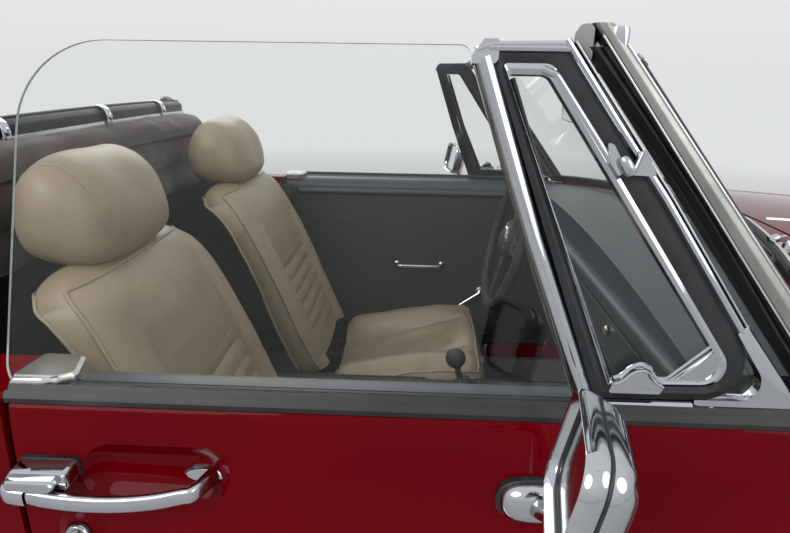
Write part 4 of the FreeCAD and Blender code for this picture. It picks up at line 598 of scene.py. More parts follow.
def leaned(part):
    """A part drawn upright at the glass line, leaned in with the side glass."""
    verts, faces = part
    y, z = verts[:, 1] - GLASS_LINE, verts[:, 2] - WAIST
    c, s = math.cos(GLASS_LEAN), math.sin(GLASS_LEAN)
    return np.column_stack([verts[:, 0], GLASS_LINE + y * c - z * s, WAIST + y * s + z * c]), faces


def shrunk(points, grow):
    """Points drawn in or out round their middle, by one share or by one for each axis."""
    middle = points.mean(axis=0)
    return middle + (points - middle) * grow


def across_x(outline, x, grow=1.0):
    """A (y, z) outline as a ring at one x, scaled round its middle."""
    return np.array([(x, *p) for p in shrunk(outline, grow)])


class Piece:
    """Gathers mesh parts in millimetres and becomes one object that rides on a body."""

    def __init__(self):
        self.verts, self.faces, self.index, self.finishes = [], [], [], []

    def put(self, part, finish_name):
        verts, faces = part
        if finish_name not in self.finishes:
            self.finishes.append(finish_name)
        base = len(self.verts)
        self.verts.extend(verts)
        self.faces.extend(tuple(base + k for k in f) for f in faces)
        self.index.extend([self.finishes.index(finish_name)] * len(faces))
        return self

    def make(self, name, body, stands_for=(), crease=35, bevel=0.0, levels=0, weld=0.05):
        mesh = bpy.data.meshes.new(name)
        mesh.from_pydata([tuple(v * 0.001) for v in self.verts], [], self.faces)
        for finish_name in self.finishes:
            mesh.materials.append(finish(finish_name))
        mesh.polygons.foreach_set("material_index", self.index)
        work = bmesh.new()
        work.from_mesh(mesh)
        bmesh.ops.remove_doubles(work, verts=work.verts, dist=weld * 0.001)
        bmesh.ops.recalc_face_normals(work, faces=work.faces)
        work.to_mesh(mesh)
        work.free()
        piece = bpy.data.objects.new(name, mesh)
        bpy.context.scene.collection.objects.link(piece)
        if bevel:
            cut = piece.modifiers.new("Edges", "BEVEL")
            cut.width, cut.segments = bevel * 0.001, 2
            cut.limit_method, cut.angle_limit = "ANGLE", math.radians(40)
        if levels:
            soft = piece.modifiers.new("Soft", "SUBSURF")
            soft.levels = soft.render_levels = levels
        if bevel or levels:
            apply_modifiers(piece)
        piece.data.shade_smooth()
        piece.data.set_sharp_from_angle(angle=math.radians(crease))
        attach(piece, body)
        if stands_for:
            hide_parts(*stands_for)
        return piece


def apply_modifiers(piece):
    """Bakes an object's modifiers into its mesh."""
    shape = bpy.data.meshes.new_from_object(piece.evaluated_get(bpy.context.evaluated_depsgraph_get()))
    piece.modifiers.clear()
    old, piece.data = piece.data, shape
    shape.name = piece.name
    bpy.data.meshes.remove(old)


SURFACES = {}


def skin(node, origin, direction, must=True):
    """Where a line from origin first meets a CAD node, in millimetres, and the surface's normal there."""
    if node not in SURFACES:
        mesh = NODES[node].data
        SURFACES[node] = BVHTree.FromPolygons([v.co for v in mesh.vertices],
                                              [p.vertices for p in mesh.polygons])
    place, normal, _, _ = SURFACES[node].ray_cast(Vector(origin) / 1000, Vector(direction))
    if place is None and not must:
        return None
    if place is None:
        raise RuntimeError(f"no surface of {node} from {tuple(origin)}")
    return np.array(place) * 1000, np.array(normal)


# The stage and the finishes of the CAD pieces


class ROADSTER_OT_stage(bpy.types.Operator):
    """Floor, soft lights, background and the camera at the photograph's place"""

    bl_idname = "roadster.stage"
    bl_label = "Stage"

    def execute(self, context):
        _, sizes = settings()
        scene = context.scene
        scene.view_settings.view_transform = "Standard"
        material, tree, shader, coords = start("matt_studio_floor")
        speck = add(tree, "ShaderNodeTexNoise", {"Vector": coords, "Scale": 3.0, "Detail": 4.0})
        tone = tones(tree, speck.outputs["Fac"], [(0.3, linear("#cfcecb")), (0.7, linear("#d6d5d2"))])
        tree.links.new(tone, shader.inputs["Base Color"])
        give(shader, Roughness=0.85)
        # Away from the car the floor fades into the pale backdrop.
        far = add(tree, "ShaderNodeVectorMath", {0: coords}, operation="LENGTH")
        fade = add(tree, "ShaderNodeMapRange", {"Value": far.outputs["Value"], "From Min": 3.0,
                                                "From Max": 9.0}, interpolation_type="SMOOTHSTEP")
        pale = add(tree, "ShaderNodeEmission", {"Color": linear("#dfe1e3"), "Strength": 1.0})
        blend = add(tree, "ShaderNodeMixShader",
                    {0: fade.outputs["Result"], 1: shader.outputs["BSDF"], 2: pale.outputs["Emission"]})
        tree.links.new(blend.outputs["Shader"], tree.nodes["Material Output"].inputs["Surface"])
        radius = sizes.floor
        ring = [(x, y, -0.002) for x, y in oval(radius, radius, 96)]
        mesh = bpy.data.meshes.new("studio_floor")
        mesh.from_pydata(ring, [], [tuple(range(96))])
        mesh.materials.append(material)
        floor = bpy.data.objects.new("studio_floor", mesh)
        scene.collection.objects.link(floor)

        world = bpy.data.worlds.new("studio_world")
        scene.world = world
        world.use_nodes = True
        tree = world.node_tree
        tree.nodes.clear()
        path = add(tree, "ShaderNodeLightPath")
        seen = add(tree, "ShaderNodeMath", {0: path.outputs["Is Camera Ray"],
                                            1: path.outputs["Is Glossy Ray"]}, operation="MAXIMUM")
        shown = add(tree, "ShaderNodeMath", {0: seen.outputs["Value"],
                                             1: path.outputs["Is Transmission Ray"]}, operation="MAXIMUM")
        view = add(tree, "ShaderNodeTexCoord").outputs["Generated"]
        up = add(tree, "ShaderNodeSeparateXYZ", {0: view}).outputs["Z"]
        rise = tones(tree, up, [(0.0, linear("#dfe1e3")), (0.55, linear("#ffffff"))])
        back = add(tree, "ShaderNodeBackground", {"Color": rise, "Strength": 1.0})
        light = add(tree, "ShaderNodeBackground", {"Color": linear("#eef2f7"), "Strength": 0.62})
        mix = add(tree, "ShaderNodeMixShader", {0: shown.outputs["Value"], 1: light.outputs["Background"],
                                                2: back.outputs["Background"]})
        add(tree, "ShaderNodeOutputWorld", {"Surface": mix.outputs["Shader"]})

        for name, place, aim, size, power in (
                ("key_light", (-2.6, -3.4, 4.2), (0, 0, 0.6), 3.2, 120),
                ("fill_light", (3.6, -2.6, 3.0), (0.2, 0, 0.6), 3.0, 50),
                ("back_light", (-1.5, 4.2, 3.6), (0, 0, 0.7), 3.4, 70)):
            lamp = bpy.data.lights.new(name, "AREA")
            lamp.shape, lamp.size, lamp.energy = "DISK", size, power
            holder = bpy.data.objects.new(name, lamp)
            scene.collection.objects.link(holder)
            holder.location = place
            holder.rotation_mode = "QUATERNION"
            holder.rotation_quaternion = (Vector(aim) - Vector(place)).to_track_quat("-Z", "Y")

        data = bpy.data.cameras.new("photo_camera")
        camera = bpy.data.objects.new("photo_camera", data)
        scene.collection.objects.link(camera)
        data.sensor_width = 36.0
        data.lens = data.sensor_width * FOCAL_PIXELS / PHOTO_WIDTH
        data.clip_start, data.clip_end = 0.05, 200
        pitch, yaw, roll = [math.radians(angle) for angle in (CAMERA_PITCH, CAMERA_YAW, CAMERA_ROLL)]
        ahead = Vector((-math.sin(yaw) * math.cos(pitch), math.cos(yaw) * math.cos(pitch), -math.sin(pitch)))
        right = Vector((math.cos(yaw), math.sin(yaw), 0))
        up = right.cross(ahead)
        right, up = (right * math.cos(roll) + up * math.sin(roll),
                     up * math.cos(roll) - right * math.sin(roll))
        camera.matrix_world = Matrix((
            *[(right[k], up[k], -ahead[k], CAMERA_PLACE[k]) for k in range(3)], (0, 0, 0, 1)))
        scene.camera = camera
        return {"FINISHED"}


NODE_FINISHES = {
    "body_enamel": ("front_wings", "nose_panel", "scuttle", "rear_body", "bonnet", "boot_lid",
                    "sills_and_door_posts", "door_left", "door_right"),
    "stone_guard": ("rear_wheel_tubs", "rear_floor"),
    "looped_carpet": ("floor_pan",),
    "chassis_black": ("engine_bay", "front_suspension", "fuel_tank", "roof_frame", "seat_runners"),
    "sand_cast_iron": ("engine", "knuckle_left", "knuckle_right", "rear_axle"),
    "scaled_steel": ("exhaust",),
    "chromium_plate": ("quarter_light_frame_left", "quarter_light_frame_right", "door_handle_left",
                       "door_handle_right", "door_mirror_left", "door_mirror_right", "bumper_front",
                       "bumper_rear", "grille"),
    "float_glass": ("side_glass_right", "quarter_glass_left", "quarter_glass_right", "windscreen_glass"),
    "anodised_aluminium": ("windscreen_frame",),
    "black_vinyl": ("sun_visors", "hand_controls", "steering_wheel"),
    "padding_vinyl": ("dashboard",),
    "seat_hide": ("seat_cushions", "seat_backs", "headrests"),
    "woven_roof_cloth": ("folded_roof",),
    "moulded_nylon": ("wipers",),
    "pressed_lamp_glass": ("headlamps",),
    "amber_acrylic": ("side_lamps",),
    "red_acrylic": ("tail_lamps",),
    "tyre_rubber": ("tyre_front_left", "tyre_front_right", "tyre_rear_left", "tyre_rear_right"),
    "wheel_lacquer": ("rim_front_left", "rim_front_right", "rim_rear_left", "rim_rear_right"),
}


class ROADSTER_OT_finishes(bpy.types.Operator):
    """Each CAD piece's own material"""

    bl_idname = "roadster.finishes"
    bl_label = "Finishes"

    def execute(self, context):
        for name, nodes in NODE_FINISHES.items():
            for node in nodes:
                mesh = NODES[node].data
                mesh.materials.clear()
                mesh.materials.append(finish(name))
        return {"FINISHED"}


# Doors, quarter lights, handles and mirrors


def ring_between(outer, inner, y0, y1, puff=0.0):
    """A ring in the upright window plane from two outlines with as many corners, its face a little domed."""
    middle = (outer + inner) / 2
    rows = [(outer, y0), (outer, y1 - puff), (middle, y1), (inner, y1 - puff), (inner, y0)]
    rings = [np.column_stack([line[:, 0], np.full(len(line), GLASS_LINE + y), line[:, 1]])
             for line, y in rows]
    return loft(rings, closed=True, caps=False, cyclic=True)


def glass_plate(outline, foot, thick):
    """A flat (x, z) outline in the upright window plane, from foot outwards."""
    return slab(np.column_stack([outline[:, 0], np.full(len(outline), GLASS_LINE + foot), outline[:, 1]]),
                (0, thick, 0))


def window_line(points, out):
    """Points (x, z) in the upright window plane, at a distance out from the glass."""
    return [vec(x, GLASS_LINE + out, z) for x, z in points]


def dome_profile(wide, low, high, sides=9):
    """A half-round moulding: flat at low, domed to high."""
    arc = [(wide / 2 * math.cos(a), low + (high - low) * math.sin(a)) for a in np.linspace(0, math.pi, sides)]
    return np.array([(wide / 2, low - 2)] + arc + [(-wide / 2, low - 2)])


def screw(centre, axis, radius=3.4):
    """A countersunk cross-head screw."""
    return lathe([(0, 0.9), (radius * 0.55, 0.8), (radius * 0.95, 0.3), (radius, -0.6)], centre, axis, 20)


def cross_slot(centre, axis, radius=2.0):
    axis = unit(np.asarray(axis, float))
    u = unit(np.cross(axis, vec(0.3, 0.2, 1)))
    v = np.cross(axis, u)
    bars = []
    for a, b in ((u, v), (v, u)):
        ring = [np.asarray(centre, float) + axis * 0.95 + a * s * radius + b * t * radius * 0.2
                for s, t in ((1, 1), (-1, 1), (-1, -1), (1, -1))]
        bars.append(slab(ring, axis * 0.15))
    return bars


class ROADSTER_OT_quarter_lights(bpy.types.Operator):
    """Chrome quarter lights with rubber channel, vent frame, hinge, catch and cast foot"""

    bl_idname = "roadster.quarter_lights"
    bl_label = "Quarter lights"

    def execute(self, context):
        for name, side in SIDES:
            piece = Piece()
            put = lambda part, what: piece.put(on_side(leaned(part), side), what)
            # Rear bar, top rail and front bar in one bent moulding, each run as wide as the real one.
            rear = window_line([(201, 829), (133, 1007), (75, 1178)], 0)
            bar = sweep(rear, dome_profile(22, -6, 10), normal=OUT)
            put(bar, CHROME)
            top = window_line([(68, 1184), (80, 1189), (154, 1190.5)], 0)
            put(sweep(top, dome_profile(11, -6, 9), normal=OUT), CHROME)
            front = window_line([(150, 1194), (202, 1122), (256.5, 1049), (344, 920)], 0)
            put(sweep(front, dome_profile(14, -6, 10), normal=OUT), CHROME)
            bead = window_line([(159, 1193), (265, 1048), (353, 919)], 2)
            put(sweep(bead, dome_profile(2.4, 3, 6), normal=OUT), STAINLESS)
            bar = window_line([(154, 1189), (260, 1044), (348, 915)], 0)
            put(sweep(bar, dome_profile(13, -8, 9), normal=OUT), CHROME)
            head = window_line([(78, 1186.5), (156, 1186.5)], 0)
            put(sweep(head, dome_profile(14, -8, 9.5), normal=OUT), CHROME)
            corner = rounded([(63, 1172), (63, 1180), (74, 1194.5), (88, 1194.5), (88, 1172)],
                             [2, 3, 3, 2, 6], 4)
            put(glass_plate(corner, -7, 15), CHROME)
            # Rubber channel, with the wide curve at the low front corner.
            rubber_out = rounded([(80, 1188), (155, 1188), (390, 845), (205, 843)], [4, 6, 41, 3], 9)
            vent_out = rounded([(92.5, 1173), (139, 1173), (353, 861), (217, 858)], [3, 14, 22, 3], 9)
            vent_in = rounded([(97, 1163), (135, 1163), (341, 866), (220, 863)], [3, 12, 18, 3], 9)
            put(ring_between(rubber_out, vent_out, -9, 6.5, 2.5), RUBBER)
            put(ring_between(vent_out, vent_in, -7, 8.5, 1.5), CHROME)
            strip = window_line([(222, 866), (158, 1007), (103, 1160)], 0)
            put(sweep(strip, dome_profile(6, -5, 5.5), normal=OUT), RUBBER)
            upper = window_line([(130, 1168), (143, 1163), (200, 1084)], 2)
            put(sweep(rounded(upper, 10, 5, closed=False), dome_profile(10, 0, 8), normal=OUT), CHROME)
            # Cast foot, with its screw, and the bottom rail.
            curve = rounded([(341, 917), (388.5, 845), (306, 845)], [0, 41, 0], 12, closed=False)
            foot = np.concatenate([[(350, 926), (399, 861), (418, 829.5), (306, 829)], curve[::-1]])
            base = np.column_stack([foot[:, 0], np.full(len(foot), GLASS_LINE - 6), foot[:, 1]])
            swell = base * vec(1, 0, 1) + vec(0, GLASS_LINE + 9, 0)
            middle = np.array([364, GLASS_LINE + 11.5, 862])
            rim = middle + (swell - middle) * vec(0.93, 1, 0.93)
            put(loft([base, swell - vec(0, 2, 0), rim], caps=True), CHROME)
            rail = window_line([(208, 836), (304.5, 836.5)], 0)
            put(sweep(rail, dome_profile(16, -6, 9.5), normal=OUT), CHROME)
            put(screw((323, GLASS_LINE + 9.5, 836), (0, 1, 0), 3.6), STAINLESS)
            for part in cross_slot((323, GLASS_LINE + 9.5, 836), (0, 1, 0)):
                put(part, NYLON)
            # Hinge: a barrel with a domed cap between two leaves.
            put(lathe([(0, 10), (3.4, 9.2), (5.6, 6.4), (6.4, 2), (6.2, -7), (4.8, -10), (0, -10.6)],
                      (213, GLASS_LINE + 13, 1081), (-0.5, 0, 0.86), 20), CHROME)
            leaf = rounded([(194, 1103), (201, 1100), (214, 1078), (208, 1070), (199, 1082)], 2, 3)
            put(glass_plate(leaf, 7, 3.5), CHROME)
            wing = rounded([(219, 1072), (243, 1071), (231, 1096), (222, 1094), (224, 1084), (214, 1075)],
                           2, 3)
            put(glass_plate(wing, 6, 7), CHROME)
            put(sweep(window_line([(221, 1076), (227, 1093)], 12), dome_profile(5, 0, 3.5), normal=OUT),
                CHROME)
            # Catch with its humped thumb lever, and the polished corner gusset with its ribs.
            block_ = rounded([(216, 852), (268, 852), (272, 860), (264, 867), (222, 867)], [2, 3, 4, 4, 4], 3)
            put(glass_plate(block_, 5, 7), CHROME)
            lever = flow([(220, 868), (229, 872), (236, 879), (245, 883), (254, 881), (259, 873),
                          (269, 866)], 5)
            for step, wide, high in ((0, 5.5, 12), (5, 3, 16)):
                line = [vec(x, GLASS_LINE + high, z - step) for x, z in lever]
                put(tube(line, wide / 2, 10), CHROME)
            hump = rounded([(226, 867), (238, 878), (252, 880), (258, 870), (266, 866)], 4, 4)
            put(glass_plate(hump, 7, 6), CHROME)
            gusset = rounded([(288, 867), (321, 899), (327, 893), (324, 876), (310, 866.5)],
                             [1, 2, 5, 10, 6], 5)
            put(glass_plate(gusset, 3, 4.5), CHROME)
            for shift, wide in ((0, 3.0), (5.2, 2.2), (9.6, 2.2)):
                line = window_line([(275 + shift, 866), (320 + shift * 0.3, 906 - shift)], 6)
                put(tube(line, wide / 2, 8), "rolled_stainless" if shift else "chromium_plate")
            body = f"door_{name}"
            piece.make(f"quarter_light_{name}", body, [f"quarter_light_frame_{name}"], crease=32)
        return {"FINISHED"}


class ROADSTER_OT_doors(bpy.types.Operator):
    """Waist seals, cappings, inner trim, door pulls, locks and the pale edge of the side glass"""

    bl_idname = "roadster.doors"
    bl_label = "Doors"

    def execute(self, context):
        _, sizes = settings()
        tall = sizes.seal * 1000
        for name, side in SIDES:
            node = f"door_{name}"
            mesh = NODES[node].data
            for what in ("padding_vinyl", "black_vinyl"):
                mesh.materials.append(finish(what))
            for face in mesh.polygons:
                centre = face.center * 1000
                if abs(centre.y) < 680 and centre.z > WAIST - 29:
                    face.material_index = 1
                elif abs(centre.y) < 626:
                    face.material_index = 2
            seal = Piece()
            put = lambda part, what: seal.put(on_side(part, side), what)
            lips = [(10, -3), (11, 3), (8.5, tall * 0.5), (5.6, tall * 0.72), (3.2, tall * 0.5),
                    (0.6, tall * 0.75), (-2.4, tall), (-5.2, tall * 0.9),
                    (-7, tall * 0.3), (-7, -3)]
            outer = [vec(x, 702, 827.5) for x in np.linspace(-414, 452, 40)]
            put(sweep(outer, [(-u, v) for u, v in lips], normal=UP), RUBBER)
            inner = [vec(x, 679, 828) for x in np.linspace(-405, 186, 30)]
            put(sweep(inner, [(-5, -1), (-5, 3), (-2, 5.5), (2, 5), (6, 2), (6, -1)], normal=UP), RUBBER)
            # Capping: a padded vinyl roll that follows the rounded inner edge.
            arc = [(658 - 32.5 * math.sin(a), 798 + 32.5 * math.cos(a)) for a in np.linspace(0.05, 1.5, 12)]
            section = [(672, 827), (671, 830.6)] + arc + [(629, 798), (640, 820)]
            rings = []
            run = [(x, 1) for x in np.linspace(-400, 455, 24)]
            for x, shrink in [(-417, 0.9), (-414, 1), *run, (462, 0.9)]:
                rings.append([(x, 655 + (y - 655) * shrink, 812 + (z - 812) * shrink) for y, z in section])
            put(loft(rings), PADDING)
            chrome = [vec(-420, 684, 828), vec(-416, 698, 828), vec(-380, 697, 828), vec(-352, 676, 828),
                      vec(-366, 634, 828), vec(-415, 632, 828)]
            plate = rounded(chrome, [2, 3, 6, 8, 5, 5], 4)
            put(loft([plate - vec(0, 0, 2), plate + vec(0, 0, 12), shrunk(plate, 0.9) + vec(0, 0, 16)]),
                STAINLESS)
            seal.make(f"waist_seal_{name}", node, crease=40)

            # Inner trim: vinyl panel with a padded roll, a pocket seam, the pull and the window winder.
            trim = Piece()
            put = lambda part, what: trim.put(on_side(part, side), what)
            rows = []
            for z in np.linspace(292, 800, 34):
                shape = 1 - abs((z - 546) / 254) ** 8
                rear = -372 - 0.12 * (z - 546)
                rows.append([(x, 623.4 - 6.5 * shape * (1 - abs((x - 40) / 450) ** 10)
                              - 1.6 * (abs(z - 690) < 8), z)
                             for x in np.linspace(rear, 478, 60)])
            put(loft(rows, closed=False, caps=False), VINYL)
            for line in ([(-340, 300), (-352, 690), (440, 690), (456, 300)],
                         [(-300, 330), (-310, 600), (60, 600), (60, 330)]):
                path = rounded([vec(x, 616.6, z) for x, z in line], 24, 5)
                put(tube(path, 1.6, 6, closed=True), VINYL)
            roll = [vec(x, 617, 792) for x in np.linspace(-370, 470, 20)]
            put(tube(roll, 9, 14), PADDING)
            pull = rounded([vec(-46, 621, 548), vec(-46, 590, 548), vec(104, 590, 548), vec(104, 621, 548)],
                           22, 6, closed=False)
            put(sweep(pull, oval(4.5, 6.5, 14), normal=UP), CHROME)
            for x in (-46, 104):
                put(lathe([(0, 6), (7, 5), (11, 2), (12, -1)], (x, 617, 548), (0, -1, 0), 20), CHROME)
            winder = (240, 616, 452)
            put(lathe([(0, 16), (9, 15), (14, 11), (16, 4), (20, 1), (21, -2)], winder, (0, -1, 0), 28),
                CHROME)
            arm = [vec(240, 602, 452), vec(196, 598, 424), vec(160, 596, 400)]
            put(sweep(flow(arm, 6), oval(8, 3.5, 12), normal=OUT, scale=np.linspace(1.1, 0.75, 13)), CHROME)
            put(lathe([(0, 26), (7, 25), (9, 18), (6.5, 6), (7, 0), (0, -1)], (160, 598, 400), (0, -1, 0),
                      20), NYLON)
            put(lathe([(0, 10), (10, 9), (14, 4), (15, -1)], (330, 617, 640), (0, -1, 0), 24), CHROME)
            lever = [vec(330, 606, 640), vec(372, 604, 640), vec(398, 600, 636)]
            put(sweep(flow(lever, 5), oval(7, 3, 12), normal=OUT, scale=np.linspace(1, 0.7, 11)), CHROME)
            trim.make(f"door_trim_{name}", node, crease=45)

            # Lock barrel in its dished escutcheon.
            lock = Piece()
            spot, normal = skin(node, (-333, side * 900, 691), (0, -side, 0))
            barrel = [(0, 8.5), (4, 8.4), (6.5, 9.4), (9, 12.4), (11, 12.8), (12.6, 11.4), (13.2, 8),
                      (13.4, 2)]
            lock.put(lathe(barrel, spot, normal, 32), CHROME)
            slot = [spot + normal * 8.7 + vec(a, 0, b)
                    for a, b in ((-0.8, -3.4), (0.8, -3.4), (0.8, 3.4), (-0.8, 3.4))]
            lock.put(slab(slot, normal * 0.5), NYLON)
            dome = [(13.3, 4.4), (14.6, 5.6), (16.4, 5.2), (19, 3), (22.5, 0.8), (27, -0.4), (28, -2)]
            lock.put(lathe(dome, spot, normal, 40), "body_enamel")
            lock.make(f"door_lock_{name}", node, crease=50)

        glass = NODES["side_glass_right"].data
        glass.materials.append(finish("ground_glass_edge"))
        for face in glass.polygons:
            if abs(face.normal.x) > 0.5 or (abs(face.normal.z) > 0.6 and face.center.z > 0.9):
                face.material_index = 1
        return {"FINISHED"}


class ROADSTER_OT_handles(bpy.types.Operator):
    """Chrome door handles with push button and pointed front boss"""

    bl_idname = "roadster.handles"
    bl_label = "Door handles"

    def execute(self, context):
        drop = vec(0, 0, 8)
        for name, side in SIDES:
            node = f"door_{name}"
            piece = Piece()
            put = lambda part, what: piece.put(on_side((part[0] - drop, part[1]), side), what)
            surface = lambda x, z: abs(skin(node, (x, side * 900, z - drop[2]), (0, -side, 0))[0][1])
            grip = flow([vec(-371, 760, 754), vec(-330, 763, 752), vec(-285, 763.5, 752),
                         vec(-245, 761, 755), vec(-215, 756, 759),
                         vec(-203, 752, 760.5), vec(-192, surface(-192, 758) + 3, 759),
                         vec(-183, surface(-183, 757) + 0.5, 757)], 6)
            wide = np.interp(np.linspace(0, 1, len(grip)), [0, 0.04, 0.1, 0.5, 0.68, 0.78, 0.86, 0.94, 1],
                             [0.86, 1, 1, 0.98, 0.95, 1.08, 1.12, 0.72, 0.1])
            put(sweep(grip, oval(5.4, 8.8, 20, 2.8), normal=UP, scale=wide), CHROME)
            cuff = flow([vec(-400, 738, 757), vec(-399, 752, 756), vec(-392, 759, 755),
                         vec(-373, 760.5, 754)], 5)
            put(sweep(cuff, oval(5.8, 9.6, 20, 2.8), normal=UP, scale=np.linspace(0.96, 1.0, len(cuff))),
                CHROME)
            low = surface(-196, 757)
            put(loft([np.column_stack([-205 + shape[:, 0] * g, np.full(24, low + out), 758 + shape[:, 1] * g])
                      for shape in (oval(22, 9.5, 24, 1.7),)
                      for out, g in ((-3, 1.0), (2, 0.98), (5, 0.8))]), CHROME)
            block_ = rounded([vec(x, 0, z) for x, z in ((-396, 757), (-334, 757), (-331, 763), (-334, 779),
                                                        (-392, 779), (-398, 772))], [3, 3, 5, 5, 6, 6], 4)
            base = min(surface(x, z) for x, z in ((-396, 757), (-334, 757), (-392, 779))) - 3
            put(loft([block_ + vec(0, base, 0), block_ + vec(0, 752, 0),
                      shrunk(block_, 0.93) + vec(0, 755, 0)]), CHROME)
            button = rounded([vec(x, 0, z) for x, z in ((-394, 762), (-345, 762), (-341, 768), (-345, 773),
                                                        (-394, 773))], 3, 4)
            put(loft([button + vec(0, 753, 0), button + vec(0, 761, 0),
                      shrunk(button, 0.9) + vec(0, 763.5, 0)]), CHROME)
            gasket = shrunk(block_, vec(1.05, 1, 1.1))
            put(loft([gasket + vec(0, base, 0), gasket + vec(0, surface(-365, 768) + 1.8, 0)]), RUBBER)
            piece.make(f"handle_{name}", node, [f"door_handle_{name}"], crease=40)
        return {"FINISHED"}


class ROADSTER_OT_mirrors(bpy.types.Operator):
    """Chrome door mirrors on an oval foot with a rubber gasket"""

    bl_idname = "roadster.mirrors"
    bl_label = "Door mirrors"

    def execute(self, context):
        toe, tilt = math.radians(12), math.radians(11)
        for name, side in SIDES:
            node = f"door_{name}"
            piece = Piece()
            put = lambda part, what: piece.put(on_side(part, side), what)
            # The head is drawn facing back, then tilted up and turned in as it is set in the photograph.
            rim = rounded([(-67, -52), (-67, 46), (61, 52), (67, -46)], [24, 22, 26, 26], 7)
            c, s = math.cos(tilt), math.sin(tilt)
            ct, st = math.cos(toe), math.sin(toe)
            turn = np.array([[ct * c, -st, ct * s], [st * c, ct, st * s], [-s, 0, c]])
            head = vec(136, 857.3, 875)
            set_ = lambda part: (part[0] @ turn.T + head, part[1])
            ring = lambda at, grow: np.column_stack([np.full(len(rim), at), rim[:, 0] * grow,
                                                     rim[:, 1] * grow])
            shell = [(7, 0.84), (1, 0.87), (-4, 0.92), (-6, 0.965), (-3, 1.0), (3, 1.01), (9, 1.0),
                     (11, 0.975), (12, 0.95), (17, 0.95), (25, 0.9),
                     (33, 0.78), (39, 0.58), (42.5, 0.32), (43.5, 0.06)]
            put(set_(loft([ring(at, grow) for at, grow in shell], caps=False)), CHROME)
            put(set_(disc(ring(4.5, 0.86))), "silvered_glass")
            put(set_(tube(ring(3.6, 0.875), 2.0, 8, closed=True)), RUBBER)
            put(set_(tube(ring(12, 0.968), 1.5, 8, closed=True)), RUBBER)
            x, z = 144, 746
            low = abs(skin(node, (x, side * 900, z), (0, -side, 0))[0][1])
            foot = oval(36, 23, 40, 2.6)
            flat = lambda out, grow: np.column_stack([x + foot[:, 0] * grow, np.full(40, low + out),
                                                      z + foot[:, 1] * grow])
            put(loft([flat(o, g) for o, g in ((-4, 0.98), (6, 0.98), (11, 0.9), (15.5, 0.74), (18, 0.5),
                                              (19, 0.12))]), CHROME)
            put(loft([flat(o, g) for o, g in ((-5, 1.1), (2.4, 1.1), (3.8, 1.05))]), RUBBER)
            put(screw((x - 28, low + 10.4, z), (-0.45, 0.89, 0), 3.4), STAINLESS)
            neck = flow([vec(x + 4, low + 10, z), vec(x + 12, low + 42, z + 18),
                         vec(x + 22, low + 74, z + 58), vec(x + 20, 846, 848)], 6)
            wide = np.interp(np.linspace(0, 1, len(neck)), [0, 0.3, 1], [1.3, 1.0, 1.1])
            put(sweep(neck, oval(11, 9, 20), scale=wide), CHROME)
            piece.make(f"mirror_{name}", node, [f"door_mirror_{name}"], crease=40)
        return {"FINISHED"}


# Seats


def evenly(points, pitch):
    """The same line, with its points pitch apart."""
    points = np.asarray(points, float)
    along = np.concatenate([[0], np.cumsum(np.linalg.norm(np.diff(points, axis=0), axis=1))])
    spots = np.linspace(0, along[-1], max(2, round(along[-1] / pitch) + 1))
    return np.column_stack([np.interp(spots, along, points[:, k]) for k in range(points.shape[1])])


def puffed(part, pinned, pressure=4.0, reach=7.0):
    """Blows a hide cover up like its filling: a cloth simulation that the pinned seams hold."""
    verts, faces = part
    mesh = bpy.data.meshes.new("cover")
    mesh.from_pydata([tuple(v * 0.001) for v in verts], [], faces)
    work = bmesh.new()
    work.from_mesh(mesh)
    bmesh.ops.recalc_face_normals(work, faces=work.faces)
    work.to_mesh(mesh)
    work.free()
    cover = bpy.data.objects.new("cover", mesh)
    scene = bpy.context.scene
    scene.collection.objects.link(cover)
    held = cover.vertex_groups.new(name="held")
    held.add([int(k) for k in np.flatnonzero(pinned)], 1.0, "REPLACE")
    cloth = cover.modifiers.new("Cloth", "CLOTH")
    cloth.settings.vertex_group_mass = "held"
    cloth.settings.use_pressure = True
    cloth.settings.uniform_pressure_force = pressure
    cloth.settings.effector_weights.gravity = 0.0
    cloth.settings.quality = 5
    cloth.settings.tension_stiffness = cloth.settings.compression_stiffness = 25
    cloth.settings.bending_stiffness = 1.5
    cloth.point_cache.frame_start, cloth.point_cache.frame_end = 1, 20
    for frame_number in range(1, 21):
        scene.frame_set(frame_number)
    blown = cover.evaluated_get(bpy.context.evaluated_depsgraph_get())
    moved = np.array([tuple(v.co) for v in blown.data.vertices]) * 1000
    scene.frame_set(1)
    bpy.data.objects.remove(cover)
    shift = moved - verts
    size = np.linalg.norm(shift, axis=1, keepdims=True)
    return verts + shift * np.minimum(1, reach / np.maximum(size, 1e-6)), faces


def creased(verts, depth, scale, normals):
    """Small soft creases, along the given directions."""
    out = np.array(verts)
    for k, v in enumerate(out):
        out[k] = v + normals[k] * depth * noise.noise(Vector(v) / scale)
    return out


def put_by_face(piece, part, which):
    """Parts of one mesh in several finishes: which gives the finish for a face's number."""
    verts, faces = part
    groups = {}
    for number, face in enumerate(faces):
        groups.setdefault(which(number), []).append(face)
    for name, members in groups.items():
        piece.put((verts, members), name)


